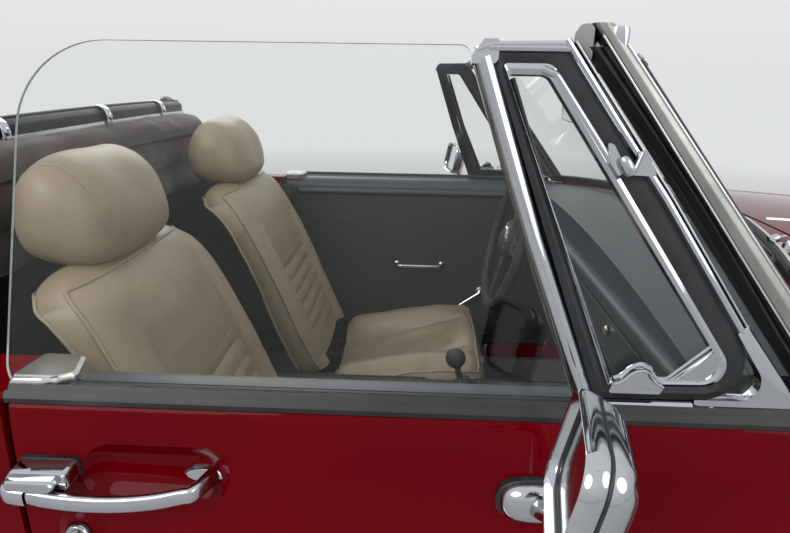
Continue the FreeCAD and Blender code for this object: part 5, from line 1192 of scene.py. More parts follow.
class ROADSTER_OT_seat_backs(bpy.types.Operator):
    """Both seat backs: a hide cover with side rolls, sewn channels and piped edges, blown up over its foam"""

    bl_idname = "roadster.seat_backs"
    bl_label = "Seat backs"

    def execute(self, context):
        _, sizes = settings()
        cord = sizes.piping * 1000
        # Each station is a chord of the side view, from the front face to the rear one, with its half width.
        table = np.array([
            (-203, 405, -308, 392, 203), (-221, 446, -325, 415, 214), (-267, 550, -362, 512, 220),
            (-311, 658, -396, 622, 220),
            (-348, 737, -428, 702, 219), (-373, 785, -452, 757, 217), (-391, 820, -478, 797, 212),
            (-408, 848, -508, 822, 204),
            (-426, 867, -532, 832, 192), (-447, 880, -534, 856, 174), (-468, 885, -516, 877, 146),
            (-484, 886, -500, 884, 96)])
        stations = evenly(flow(table, 12), 6.5)
        rows = len(stations)
        seams = [-212, -186, -143, -139, -135, -100, -50, 0, 50, 100, 135, 139, 143, 186, 212]
        angles = sorted({math.asin(np.sign(y) * (abs(y) / 220) ** 2.1)
                         for y in seams + list(range(-210, 211, 12))})
        angles = angles + [math.pi - a for a in reversed(angles)]
        columns = len(angles)
        rings, pins, directions = [], [], []
        for row, (fx, fz, rx, rz, half) in enumerate(stations):
            front, rear = vec(fx, 0, fz), vec(rx, 0, rz)
            middle, chord = (front + rear) / 2, (front - rear) / 2
            forward = unit(chord)
            ring = []
            for a in angles:
                s, c = math.sin(a), math.cos(a)
                y = half * math.copysign(abs(s) ** (1 / 2.1), s)
                lift = math.copysign(abs(c) ** 0.75, c)
                spot = middle + chord * lift + vec(0, SEAT_CENTRE + y, 0)
                seam, held = 0.0, row in (0, rows - 1)
                if c > 0:
                    inner = 139 - 18 * max(0, min(1, (fz - 640) / 200)) ** 2
                    level = max(0, min(1, (878 - fz) / 120))
                    hollow = 1 / (1 + math.exp((abs(y) - inner) / 5))
                    sink = np.interp(fz, [420, 670, 740, 850], [30, 30, 13, 2])
                    groove = math.exp(-((abs(y) - inner) / 3.2) ** 2) * 6 * level
                    pleat = 0.0
                    if 445 < fz < 684 and abs(y) < inner:
                        phase = (fz - 446) / 0.914 / 39.0
                        pleat = 7.0 * abs(math.sin(math.pi * phase)) ** 0.7 - 3
                        held = held or abs(phase - round(phase)) < 0.09
                    crown = 5 * (1 - min(1, abs(y) / inner) ** 2) * level
                    seam = -sink * hollow * level - groove + pleat * hollow + crown
                    held = held or abs(abs(y) - inner) < 3
                held = held or abs(abs(y) - half * 0.965) < 3.5 or abs(s) > 0.985
                ring.append(spot + forward * seam)
                pins.append(held)
                directions.append(forward * np.sign(c))
            rings.append(ring)
        cover = loft(rings)
        verts = creased(cover[0], 2.0, 52, directions)
        verts, faces = puffed((verts, cover[1]), np.array(pins), 4.0, 6.0)
        grid = verts.reshape(rows, columns, 3)
        corner = min(range(columns // 2), key=lambda k: abs(angles[k] + 1.18))
        other = columns // 2 - 1 - corner
        last = next(k for k, line in enumerate(stations) if line[1] > 874)
        front_edge = [*grid[3:last, corner], *grid[last, corner:other + 1], *grid[3:last, other][::-1]]
        low, high = columns // 2 + corner, columns - 1 - corner
        stop = next(k for k, line in enumerate(stations) if line[3] > 850)
        rear_edge = [*grid[3:stop, high], *grid[stop, low:high + 1][::-1], *grid[3:stop, low][::-1]]
        quads = len(faces) - 2
        for name, side in SIDES:
            piece = Piece()
            put_by_face(piece, on_side((verts, faces), side),
                        lambda number: "black_vinyl"
                        if number < quads and low <= number % columns < high else "seat_hide")
            for edge in (front_edge, rear_edge):
                line = evenly(flow(evenly(edge, 14), 3), 5)
                piece.put(on_side(tube(line, cord, 8), side), HIDE)
            cushion = piece.make(f"seat_back_{name}", "car_body", ["seat_backs"], crease=50)
        return {"FINISHED"}


class ROADSTER_OT_head_restraints(bpy.types.Operator):
    """Crowned head restraints with side gussets, on two bright posts"""

    bl_idname = "roadster.head_restraints"
    bl_label = "Head restraints"

    def execute(self, context):
        _, sizes = settings()
        cord = sizes.piping * 1000
        outline = flow([vec(-424, 0, 900), vec(-421, 0, 930), vec(-428, 0, 965), vec(-446, 0, 1004),
                        vec(-478, 0, 1033), vec(-516, 0, 1041),
                        vec(-552, 0, 1022), vec(-573, 0, 982), vec(-578, 0, 938), vec(-566, 0, 898),
                        vec(-533, 0, 877), vec(-488, 0, 872),
                        vec(-446, 0, 879)], 6, closed=True)
        middle = vec(-503, 0, 952)
        spots = [-141, -140, -137, -132, -125, -116, -108, -103, -100, -97, -92] + list(range(-82, 83, 11))
        spots = spots + [-y for y in spots[10::-1]]
        rings, pins, directions = [], [], []
        for y in spots:
            grow = max(0.04, (1 - (abs(y) / 141.5) ** 4.2) ** 0.42)
            grow *= 1 - 0.03 * math.exp(-((abs(y) - 100) / 3.5) ** 2)
            ring = middle + (outline - middle) * grow + vec(0, SEAT_CENTRE + y, 0)
            rings.append(ring)
            pins += [abs(abs(y) - 100) < 1 or abs(y) > 139] * len(ring)
            directions += [unit(p - middle) for p in outline]
        cover = loft(rings)
        verts = creased(cover[0], 3.0, 60, directions)
        verts, faces = puffed((verts, cover[1]), np.array(pins), 4.0, 5.0)
        grid = verts.reshape(len(spots), len(outline), 3)
        edges = [grid[k] for k, y in enumerate(spots) if abs(y) == 100]
        for name, side in SIDES:
            piece = Piece()
            piece.put(on_side((verts, faces), side), HIDE)
            for edge in edges:
                piece.put(on_side(tube(edge, cord * 0.8, 8, closed=True), side), HIDE)
            pad = piece.make(f"head_restraint_{name}", "car_body", ["headrests"], crease=60)
            posts = Piece()
            for y in (275, 385):
                rod = [vec(-497, y, 905), vec(-490, y, 862), vec(-470, y, 820)]
                posts.put(on_side(tube(rod, 6, 16), side), CHROME)
                collar = [(5, 6), (10, 6), (13, 3), (15, 0), (15, -6)]
                posts.put(on_side(lathe(collar, (-492, y, 880), (-0.15, 0, 1), 24), side), NYLON)
            posts.make(f"head_restraint_posts_{name}", "car_body")
        return {"FINISHED"}


class ROADSTER_OT_seat_cushions(bpy.types.Operator):
    """Seat cushions with raised side rolls, a dished centre and a piped front edge"""

    bl_idname = "roadster.seat_cushions"
    bl_label = "Seat cushions"

    def execute(self, context):
        _, sizes = settings()
        cord = sizes.piping * 1000
        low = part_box("seat_cushions")[0][2] * 1000
        stations = sorted({-198, -196, -192, *range(-186, 181, 9), 186, 192, 198, 203, 207, 210, 212, 213})
        across = [-219, -217, -212, -204, -194, -182, -170, -156, -142, -128, -116, -108, -103, -100, -97,
                  -92, -80, -66, -50, -34, -17, 0]
        across = across + [-y for y in across[-2::-1]]
        rings, pins, directions = [], [], []
        for x in stations:
            roll = np.interp(x, [-198, -180, -96, 19, 117, 176, 200, 210, 213],
                             [372, 395, 418, 440, 447, 446, 430, 405, 372])
            groove = np.interp(x, [-198, -122, -58, 5, 127, 176, 200, 210, 213],
                               [345, 360, 375, 400, 438, 452, 436, 408, 372])
            centre = np.interp(x, [-198, -100, 0, 67, 120, 160, 184, 200, 210, 213],
                               [338, 350, 368, 388, 420, 450, 457, 438, 408, 372])
            ends = min(1.0, (213.5 - x) / 14, (x + 199) / 12) if x > 199 or x < -187 else 1.0
            half = 219 - 16 * (1 - math.sqrt(max(0, 1 - (1 - ends) ** 2)))
            ring = []
            for y in across:
                place = abs(y)
                top = float(np.interp(place, [0, 60, 98, 104, 140, 176, 200, 212, 219],
                                      [centre, centre + 2, groove - 5, groove - 4, roll - 3, roll + 2,
                                       roll - 6, roll - 24, roll - 52]))
                top -= 5 * math.exp(-((place - 100) / 3) ** 2)
                ring.append(vec(x, SEAT_CENTRE + y * half / 219, top))
                pins.append(abs(place - 100) < 1 or x in (-198, 213))
                directions.append(vec(0, 0, 1))
            for y, z in ((220, roll - 85), (218, low + 22), (208, low + 4), (120, low + 1), (0, low + 1),
                         (-120, low + 1), (-208, low + 4),
                         (-218, low + 22), (-220, roll - 85)):
                ring.append(vec(x, SEAT_CENTRE + y * half / 219, z))
                pins.append(z < low + 30)
                directions.append(vec(0, 0, 0))
            rings.append(ring)
        cover = loft(rings)
        verts = creased(cover[0], 5.0, 70, directions)
        verts, faces = puffed((verts, cover[1]), np.array(pins), 4.0, 7.0)
        grid = verts.reshape(len(stations), len(rings[0]), 3)
        count = len(across)
        front = next(k for k, x in enumerate(stations) if x >= 192)
        edge = [*grid[3:front, 2], *grid[front, 3:count - 3], *grid[3:front, count - 3][::-1]]
        for name, side in SIDES:
            piece = Piece()
            piece.put(on_side((verts, faces), side), HIDE)
            line = evenly(flow(evenly(edge, 16), 3), 5)
            piece.put(on_side(tube(line, cord, 8), side), HIDE)
            for k in (across.index(-100), across.index(100)):
                stitch = grid[4:front - 1, k] + vec(0, 0, 1)
                piece.put(on_side(tube(evenly(stitch, 8), 1.2, 6), side), HIDE)
            cushion = piece.make(f"seat_cushion_{name}", "car_body", ["seat_cushions"],
                                 crease=50)
        return {"FINISHED"}


# Windscreen surround and roof


SCREEN_HEIGHT = 380


def screen_at(z):
    """The screen's shape at one height: how far up it is, the pillars' rear x and half width, the depth of a
    pillar, and how far the middle bows ahead of the pillars."""
    share = (z - WAIST) / SCREEN_HEIGHT
    return share, 460 - 286 * share, 692 - 50 * share, 30 - 13 * share, 172 - 22 * share


def bowed_x(y, z):
    """The x of the screen's rear face."""
    _, rear, half, _, bow = screen_at(z)
    return rear + bow * (1 - (y / half) ** 2)


def screen_line(z, depth_share=0.0, inset=0.0):
    """A point on the left pillar's outer face: depth_share runs from its rear edge to its front one."""
    _, rear, half, depth, _ = screen_at(z)
    return vec(rear + depth * depth_share, half - inset, z)


def screen_arc(z, ahead, ends=0.0, count=41):
    """The bowed line of the screen across the car at one height."""
    reach = screen_at(z)[2] - ends
    return np.array([(bowed_x(y, z) + ahead, y, z) for y in np.linspace(-reach, reach, count)])


class ROADSTER_OT_screen_surround(bpy.types.Operator):
    """Satin pillars and header, their bright beads, the rubber strips behind them and the glazing seal"""

    bl_idname = "roadster.screen_surround"
    bl_label = "Windscreen surround"

    def execute(self, context):
        piece = Piece()
        for _, side in SIDES:
            put = lambda part, what: piece.put(on_side(part, side), what)
            rings = []
            for z in (833, 840, *range(860, 1190, 30), 1196, 1204, 1207):
                _, _, half, deep, bow = screen_at(z)
                wide = 34.0
                corner = screen_line(z)
                slope = 2 * bow / half
                shape = [(0, -4), (0, -30), (wide * slope, -wide), (wide * slope + deep - 4, -wide),
                         (deep + 4, -9), (deep - 1, -1), (deep * 0.55, 1.5), (3, 0)]
                line = rounded([corner + vec(a, b, 0) for a, b in shape], [2.5, 3, 3, 3, 7, 5, 9, 2.5], 3)
                if z > 1200:
                    grow = 0.96 if z > 1205 else 0.99
                    line = shrunk(line, vec(grow, grow, 1))
                rings.append(line)
            put(loft(rings), "anodised_aluminium")
            bead = [screen_line(z, 0, -0.6) for z in np.linspace(838, 1196, 24)]
            put(tube(bead, 1.3, 8), STAINLESS)
            front_bead = [screen_line(z, 1.05, 3.5) for z in np.linspace(838, 1200, 24)]
            put(tube(front_bead, 1.6, 8), STAINLESS)
            # Two rubber ridges that the quarter light closes against.
            rings = []
            for z in np.linspace(852, 1186, 40):
                front = screen_line(z, 0, 1)
                gap = np.interp(z, [852, 921, 947, 995, 1050, 1099, 1148, 1186],
                                [14, 14, 12, 10, 9, 11, 14, 17])
                gap = max(gap, 7)
                rows = [(0, -26), (0, -1), (0.1, 2.5), (0.24, 3.4), (0.38, 1.6), (0.46, -5), (0.54, 1.4),
                        (0.68, 3), (0.84, 2), (0.98, -3), (1, -26)]
                rings.append([front + vec(-gap * t, out - 2.5, 0) for t, out in rows])
            put(loft(rings), RUBBER)
            # Inner lining of the pillar, in black padding.
            rings = []
            for z in np.linspace(850, 1186, 20):
                corner = screen_line(z, 0, 28)
                shape = [(6, 2), (-11, 0), (-16, -6), (-13, -14), (4, -16), (16, -8)]
                rings.append([corner + vec(a, b, 0) for a, b in shape])
            put(loft(rings), VINYL)
            # Chrome cap where the pillar meets the header.
            top = [screen_line(1186, 0.5, 17) + vec(0, 0, h) for h in (0, 17, 20.5, 22)]
            cap = oval(10.5, 17, 28, 3.2)
            put(loft([np.column_stack([p[0] + cap[:, 0] * g, p[1] + cap[:, 1] * g, np.full(28, p[2] - 3)])
                      for p, g in zip(top, (1, 1, 0.92, 0.6))]),
                CHROME)
            put(screw((186, 630, 1205), (0, 0, 1), 3.6), STAINLESS)
        section = rounded([(0, -33), (0, -4), (5, 0), (13, -1), (18, -9), (18, -33)], [3, 5, 6, 6, 8, 3], 4)
        arc = screen_arc(1207, -0.5, 6)
        piece.put(sweep(arc, [(-u, v) for u, v in section][::-1], normal=UP), "anodised_aluminium")
        lip = screen_arc(1180, 18.5, 30)
        piece.put(tube(lip, 1.8, 8), STAINLESS)
        roof_seal = screen_arc(1206, -2, 26)
        piece.put(sweep(roof_seal, [(-4, -9), (5, -9), (6, -4), (2, 1), (-3, 1), (-5, -4)], normal=UP),
                  RUBBER)
        # Rubber channel round the glass, whose low edge rises in the middle.
        low, top, low_half, top_half, rise = 849, 1172, 655, 608, 48
        for ahead in (2.5, 22.5):
            flank = list(zip(np.linspace(low_half, top_half, 30), np.linspace(low, top, 30)))
            line = flank + [(y, top) for y in np.linspace(top_half - 8, -top_half + 8, 50)]
            line += [(-y, z) for y, z in flank[::-1]]
            line += [(y, low + rise * (1 - (y / low_half) ** 2))
                     for y in np.linspace(-low_half + 12, low_half - 12, 50)]
            path = [vec(bowed_x(y, z) + ahead * (1 - 0.43 * screen_at(z)[0]), y, z) for y, z in line]
            piece.put(tube(path, 5, 8, closed=True), RUBBER)
        base = screen_arc(840, 24, 8)
        skirt = np.array([(x, y, z + rise * (1 - (y / 684) ** 2)) for x, y, z in base])
        piece.put(sweep(skirt, [(-10, -12), (-8, 4), (0, 9), (8, 4), (12, -8)], normal=UP), RUBBER)
        piece.make("windscreen_surround", "car_body", ["windscreen_frame"], crease=38)

        stem = Piece()
        stem.put(tube([vec(330, 0, 1178), vec(352, 0, 1130), vec(470, 0, 950), vec(560, 0, 902)], 3.2, 12),
                 CHROME)
        head = rounded([(-118, -29), (-104, 30), (104, 30), (118, -29)], 22, 6)
        shell = lambda at, g: np.column_stack([np.full(len(head), at), head[:, 0] * g, 1096 + head[:, 1] * g])
        stem.put(loft([shell(332, 0.97), shell(334, 1.0), shell(340, 1.0), shell(349, 0.94),
                       shell(357, 0.78), shell(361, 0.4)]), VINYL)
        stem.put(disc(shell(331.6, 0.93)), "silvered_glass")
        stem.put(loft([on_plane(oval(9, 9, 20), (344 + s, 0, 1096 + r), vec(0, 1, 0), vec(0, 0, 1))
                       for s, r in ((8, 0), (18, 6), (24, 12))]), NYLON)
        stem.make("inside_mirror", "car_body")

        visors = Piece()
        for _, side in SIDES:
            put = lambda part, what: visors.put(on_side(part, side), what)
            pad = rounded([(0, 118), (0, 432), (-112, 420), (-118, 132)], [12, 14, 34, 30], 6)
            bowed = 300 - 0.00034 * pad[:, 1] ** 2
            fit = lambda g, z: (np.column_stack([shrunk(pad, g), np.full(len(pad), z)])
                                + np.outer(bowed, (1, 0, 0)))
            put(loft([fit(0.9, 1178), fit(0.98, 1180), fit(1.0, 1184), fit(0.98, 1188), fit(0.9, 1190)]),
                VINYL)
            put(tube([vec(298, 124, 1187), vec(296, 132, 1189), vec(245, 430, 1189)], 3.4, 10), STAINLESS)
        visors.make("sun_visor_pads", "car_body", ["sun_visors"], crease=40)
        return {"FINISHED"}


class ROADSTER_OT_folded_roof(bpy.types.Operator):
    """The roof folded behind the seats: its header rail on top, then the rolled cloth"""

    bl_idname = "roadster.folded_roof"
    bl_label = "Folded roof"

    def execute(self, context):
        section = [(-652, 846), (-640, 880), (-652, 914), (-642, 930), (-634, 962), (-650, 988), (-634, 996),
                   (-622, 1016), (-630, 1040),
                   (-656, 1050), (-690, 1046), (-716, 1052), (-752, 1046), (-772, 1032), (-800, 1030),
                   (-826, 1008), (-836, 972), (-826, 956),
                   (-848, 940), (-860, 906), (-852, 874), (-860, 852), (-800, 840), (-720, 840)]
        outline = flow([vec(a, 0, b) for a, b in section], 4, closed=True)
        middle = vec(-742, 0, 940)
        spots = [-532, -530, -524, -512, -495, *range(-470, 471, 18), 495, 512, 524, 530, 532]
        rings, pins = [], []
        for y in spots:
            end = min(1.0, (533 - abs(y)) / 60)
            grow = 0.62 + 0.38 * math.sqrt(1 - (1 - end) ** 2)
            sag = -14 * (abs(y) / 530) ** 2
            ring = []
            for number, p in enumerate(outline):
                wave = 5 * noise.noise(Vector((y / 130, number / 7.0, 2.0)))
                wave += 3.5 * noise.noise(Vector((y / 42, number / 4.0, 9.0)))
                ring.append(middle + (p - middle) * (grow + wave / 110) + vec(0, y, sag))
            rings.append(ring)
            pins += [number % 8 == 0 or abs(y) > 528 for number in range(len(outline))]
        cover = loft(rings)
        verts, faces = puffed((np.array(cover[0]), cover[1]), np.array(pins), 3.0, 6.0)
        piece = Piece()
        piece.put((verts, faces), "woven_roof_cloth")
        bundle = piece.make("folded_roof_cloth", "car_body", ["folded_roof"], crease=60)

        rail = Piece()
        line = np.array([(-668 - 40 * (y / 500) ** 2, y, 1062 - 10 * (y / 500) ** 2)
                         for y in np.linspace(-500, 500, 61)])
        body = rounded([(-22, -16), (-24, 8), (-14, 20), (14, 20), (22, 10), (22, -16)], [6, 7, 7, 7, 7, 6],
                       3)
        rail.put(sweep(line, body, normal=UP), RUBBER)
        rail.put(sweep(line + vec(24, 0, -12), [(-1.5, -4), (-1.5, 4), (1.5, 5), (2.5, 0), (1.5, -5)],
                       normal=UP), STAINLESS)
        rail.put(sweep(line + vec(4, 0, 21), [(-9, -1), (-8, 2), (8, 2), (9, -1)], normal=UP), VINYL)
        for y in (-300, 0, 300):
            at = vec(-668 - 40 * (y / 500) ** 2, y, 1062 - 10 * (y / 500) ** 2)
            strap = flow([at + vec(-8, 0, 21), at + vec(12, 0, 24), at + vec(27, 0, 12),
                          at + vec(29, 0, -14), at + vec(24, 0, -26)], 5)
            rail.put(sweep(strap, rounded([(-2, -10), (-2, 10), (2, 10), (2, -10)], 1.5, 3), normal=OUT),
                     CHROME)
            rail.put(lathe([(0, 6), (5, 5.5), (7, 3), (7.5, -3)], at + vec(29, 0, 2), (1, 0, 0), 24), CHROME)
        rail.make("roof_header_rail", "car_body", crease=38)

        peaks = Piece()
        for _, side in SIDES:
            put = lambda part, what: peaks.put(on_side(part, side), what)
            rings = []
            for y, low, high, deep in ((438, 1030, 1083, 20), (470, 1016, 1087, 34), (500, 1000, 1078, 42),
                                       (530, 978, 1056, 46), (556, 950, 1022, 44), (574, 930, 984, 32),
                                       (582, 930, 956, 12)):
                half, mid = (high - low) / 2, (high + low) / 2
                ring = on_plane(oval(deep, half, 28, 1.7), (-706 - (y - 438) * 0.3, y, mid), vec(1, 0, 0),
                                vec(0, 0, 1))
                rings.append(ring)
            put(loft(rings), "woven_roof_cloth")
        ears = peaks.make("roof_side_folds", "car_body", crease=60)
        return {"FINISHED"}


# Cabin


def dial(piece, centre, radius, axis, start):
    """A round instrument: bright bezel, black face, glass and needle."""
    bezel = [(radius - 3, 2), (radius - 1, 5), (radius + 2, 5.6), (radius + 4, 3.5), (radius + 4.5, -2)]
    piece.put(lathe(bezel, centre, axis, 40), CHROME)
    axis, up = unit(axis), unit(start)
    across = np.cross(up, axis)
    face = on_plane(oval(radius - 1, radius - 1, 40), centre + axis * 1.0, across, up)
    piece.put(disc(face), "dial_face")
    for k in range(9):
        a = math.radians(-120 + 30 * k)
        ray = up * math.cos(a) + across * math.sin(a)
        flank = np.cross(ray, axis)
        mark = [centre + axis * 1.2 + ray * (radius * g) + flank * w
                for g, w in ((0.72, -0.7), (0.88, -0.7), (0.88, 0.7), (0.72, 0.7))]
        piece.put(slab(mark, axis * 0.3), STAINLESS)
    ray = up * math.cos(-1.7) + across * math.sin(-1.7)
    flank = np.cross(ray, axis)
    hand = [centre + axis * 2 + ray * g + flank * w
            for g, w in ((-4, -1.2), (radius * 0.7, -0.4), (radius * 0.7, 0.4), (-4, 1.2))]
    piece.put(slab(hand, axis * 0.5), "amber_acrylic")
    piece.put(lathe([(0, 4), (3.5, 3.6), (4, 1)], centre, axis, 16), NYLON)


class ROADSTER_OT_dashboard(bpy.types.Operator):
    """The dashboard's padded roll, hooded instruments, switches, glove box and heater panel"""

    bl_idname = "roadster.dashboard"
    bl_label = "Dashboard"

    def execute(self, context):
        piece = Piece()
        node = "dashboard"

        def face_x(y, z):
            return skin(node, (100, y, z), (1, 0, 0))[0][0]

        edge = flow([vec(face_x(y, 806) - 2, y, 806) for y in np.linspace(-596, 596, 15)], 4)
        roll = rounded([(-13, -17), (-13, 13), (14, 18), (18, -17)], [10, 12, 8, 6], 4)
        piece.put(sweep(edge, roll, normal=UP), PADDING)
        piece.put(tube(edge + vec(-13, 0, -17), 1.6, 8), VINYL)
        low = flow([vec(face_x(y, 640) - 3, y, 640) for y in np.linspace(-590, 590, 13)], 4)
        piece.put(sweep(low, rounded([(-9, -9), (-9, 9), (9, 9), (9, -9)], 6, 3), normal=UP), PADDING)
        # Hooded instrument panel ahead of the wheel.
        panel = rounded([(150, 690), (150, 786), (176, 800), (484, 800), (510, 786), (510, 690)],
                        [16, 14, 30, 30, 14, 16], 5)
        base_x = min(face_x(y, z) for y in (170, 330, 490) for z in (700, 760))
        at = lambda out, g: np.array([(base_x - out, 330 + (y - 330) * g, 745 + (z - 745) * g)
                                      for y, z in panel])
        piece.put(loft([at(-1, 1.02), at(14, 1.02), at(20, 0.99), at(20, 0.95), at(11, 0.93)]), VINYL)
        for y, z, r in ((255, 742, 48), (405, 742, 48), (181, 722, 24), (481, 722, 24), (330, 766, 22)):
            dial(piece, vec(base_x - 12, y, z), r, vec(-1, 0, 0), vec(0, 0, 1))
        # Heater dials, switches and a blank radio plate in the middle.
        x = face_x(0, 745)
        plate = rounded([(-98, 676), (-98, 786), (98, 786), (98, 676)], 8, 4)
        piece.put(loft([np.array([(x - out, y * g, 731 + (z - 731) * g) for y, z in plate])
                        for out, g in ((-2, 1), (4, 1), (6, 0.98))]), VINYL)
        blank = rounded([(-78, 690), (-78, 724), (78, 724), (78, 690)], 3, 3)
        piece.put(loft([np.array([(x - out, y, z) for y, z in blank]) for out in (5, 8)]), STAINLESS)
        piece.put(loft([np.array([(x - out, y * 0.96, 707 + (z - 707) * 0.86) for y, z in blank])
                        for out in (7.5, 9)]), VINYL)
        for y in (-60, 60):
            piece.put(lathe([(0, 24), (13, 23), (15, 20), (16, 8), (21, 6), (22, 2)], (x - 4, y, 756),
                            (-1, 0, 0), 32), NYLON)
            piece.put(lathe([(14.6, 21), (16, 21.6), (16.6, 19.6)], (x - 4, y, 756), (-1, 0, 0), 32), CHROME)
        for y in (-16, 16):
            rocker = rounded([(y - 9, 745), (y - 9, 772), (y + 9, 772), (y + 9, 745)], 3, 3)
            piece.put(loft([np.array([(x - out + (z - 758) * tip, a, z) for a, z in rocker])
                            for out, tip in ((4, 0), (10, 0.14), (12, 0.2))]), NYLON)
        # Glove box lid with a chromed lock, before the passenger.
        lid = rounded([(-520, 684), (-520, 782), (-170, 782), (-170, 684)], 12, 5)
        gx = min(face_x(y, z) for y in (-500, -345, -190) for z in (690, 775))
        piece.put(loft([across_x(lid, gx + 2), across_x(lid, gx - 5), across_x(lid, gx - 8, 0.985)]), PADDING)
        piece.put(tube(across_x(lid, gx - 3, 1.006), 1.2, 6, closed=True), VINYL)
        piece.put(lathe([(0, 9), (6, 8.6), (9, 6), (10, 0)], (gx - 7, -345, 762), (-1, 0, 0), 24), CHROME)
        # Eyeball vents at the ends, each with three bright bars across it.
        for y in (-560, 560):
            vx = face_x(y, 735)
            piece.put(lathe([(0, 7), (14, 6), (22, 2), (24, 5), (30, 5), (32, 0)], (vx - 1, y, 735),
                            (-1, 0, 0), 32), NYLON)
            for dz in (-9, 0, 9):
                piece.put(tube([vec(vx - 8, y - 17, 735 + dz), vec(vx - 8, y + 17, 735 + dz)], 1.4, 8),
                          STAINLESS)
        piece.make("dashboard_trim", "car_body", crease=36)
        return {"FINISHED"}


class ROADSTER_OT_steering(bpy.types.Operator):
    """The wheel's stitched leather rim, drilled spokes' boss and horn push, and the stalks on the column"""

    bl_idname = "roadster.steering"
    bl_label = "Steering wheel"

    def execute(self, context):
        rake = math.radians(14)
        axis = vec(-math.cos(rake), 0, math.sin(rake))
        across = vec(0, 1, 0)
        up = np.cross(across, axis)
        hub = vec(272, 330, 728)
        piece = Piece()
        rim = [hub + (across * math.cos(a) + up * math.sin(a)) * 190
               for a in np.linspace(0, 2 * math.pi, 145)[:-1]]
        grip = [1 + 0.035 * math.sin(k * 2 * math.pi / 6) for k in range(144)]
        piece.put(sweep(rim, oval(14, 14, 18), closed=True, scale=grip), VINYL)
        stitch = [hub + (across * math.cos(a) + up * math.sin(a)) * 176.6 + axis * (0.9 * math.sin(a * 130))
                  for a in np.linspace(0, 2 * math.pi, 300)[:-1]]
        piece.put(tube(stitch, 0.9, 5, closed=True), NYLON)
        boss = [(0, 21), (20, 19.5), (31, 15), (34, 9), (46, 7), (50, 2), (50, -18)]
        piece.put(lathe(boss, hub, axis, 48, up), VINYL)
        piece.put(lathe([(32, 15.8), (35, 14), (36, 9)], hub, axis, 48, up), CHROME)
        for k in range(6):
            a = 2 * math.pi * k / 6
            spot = hub + (across * math.cos(a) + up * math.sin(a)) * 41 + axis * 8
            piece.put(lathe([(0, 3), (3.4, 2.6), (4, 0)], spot, axis, 6), STAINLESS)
        piece.make("steering_wheel_trim", "steering_wheel", crease=40)

        column = Piece()
        cowl = [hub - axis * d for d in (44, 52, 90, 128, 134)]
        rings = [on_plane(oval(31 * g, 29 * g, 32, 3), c, across, up)
                 for c, g in zip(cowl, (0.93, 1, 1.06, 1.0, 0.9))]
        column.put(loft(rings), NYLON)
        for side, reach in ((1, 150), (-1, 142)):
            base = hub - axis * 78 + across * 28 * side
            tip = base + across * (reach - 28) * side + axis * 26 + up * 8
            column.put(tube(flow([base, base + across * 50 * side + axis * 4, tip], 5), 3.4, 12), NYLON)
            column.put(tube([tip - across * 22 * side - axis * 5, tip + across * 6 * side + axis * 1], 6.4,
                            16), NYLON)
        column.make("column_cowl", "car_body", crease=45)
        return {"FINISHED"}


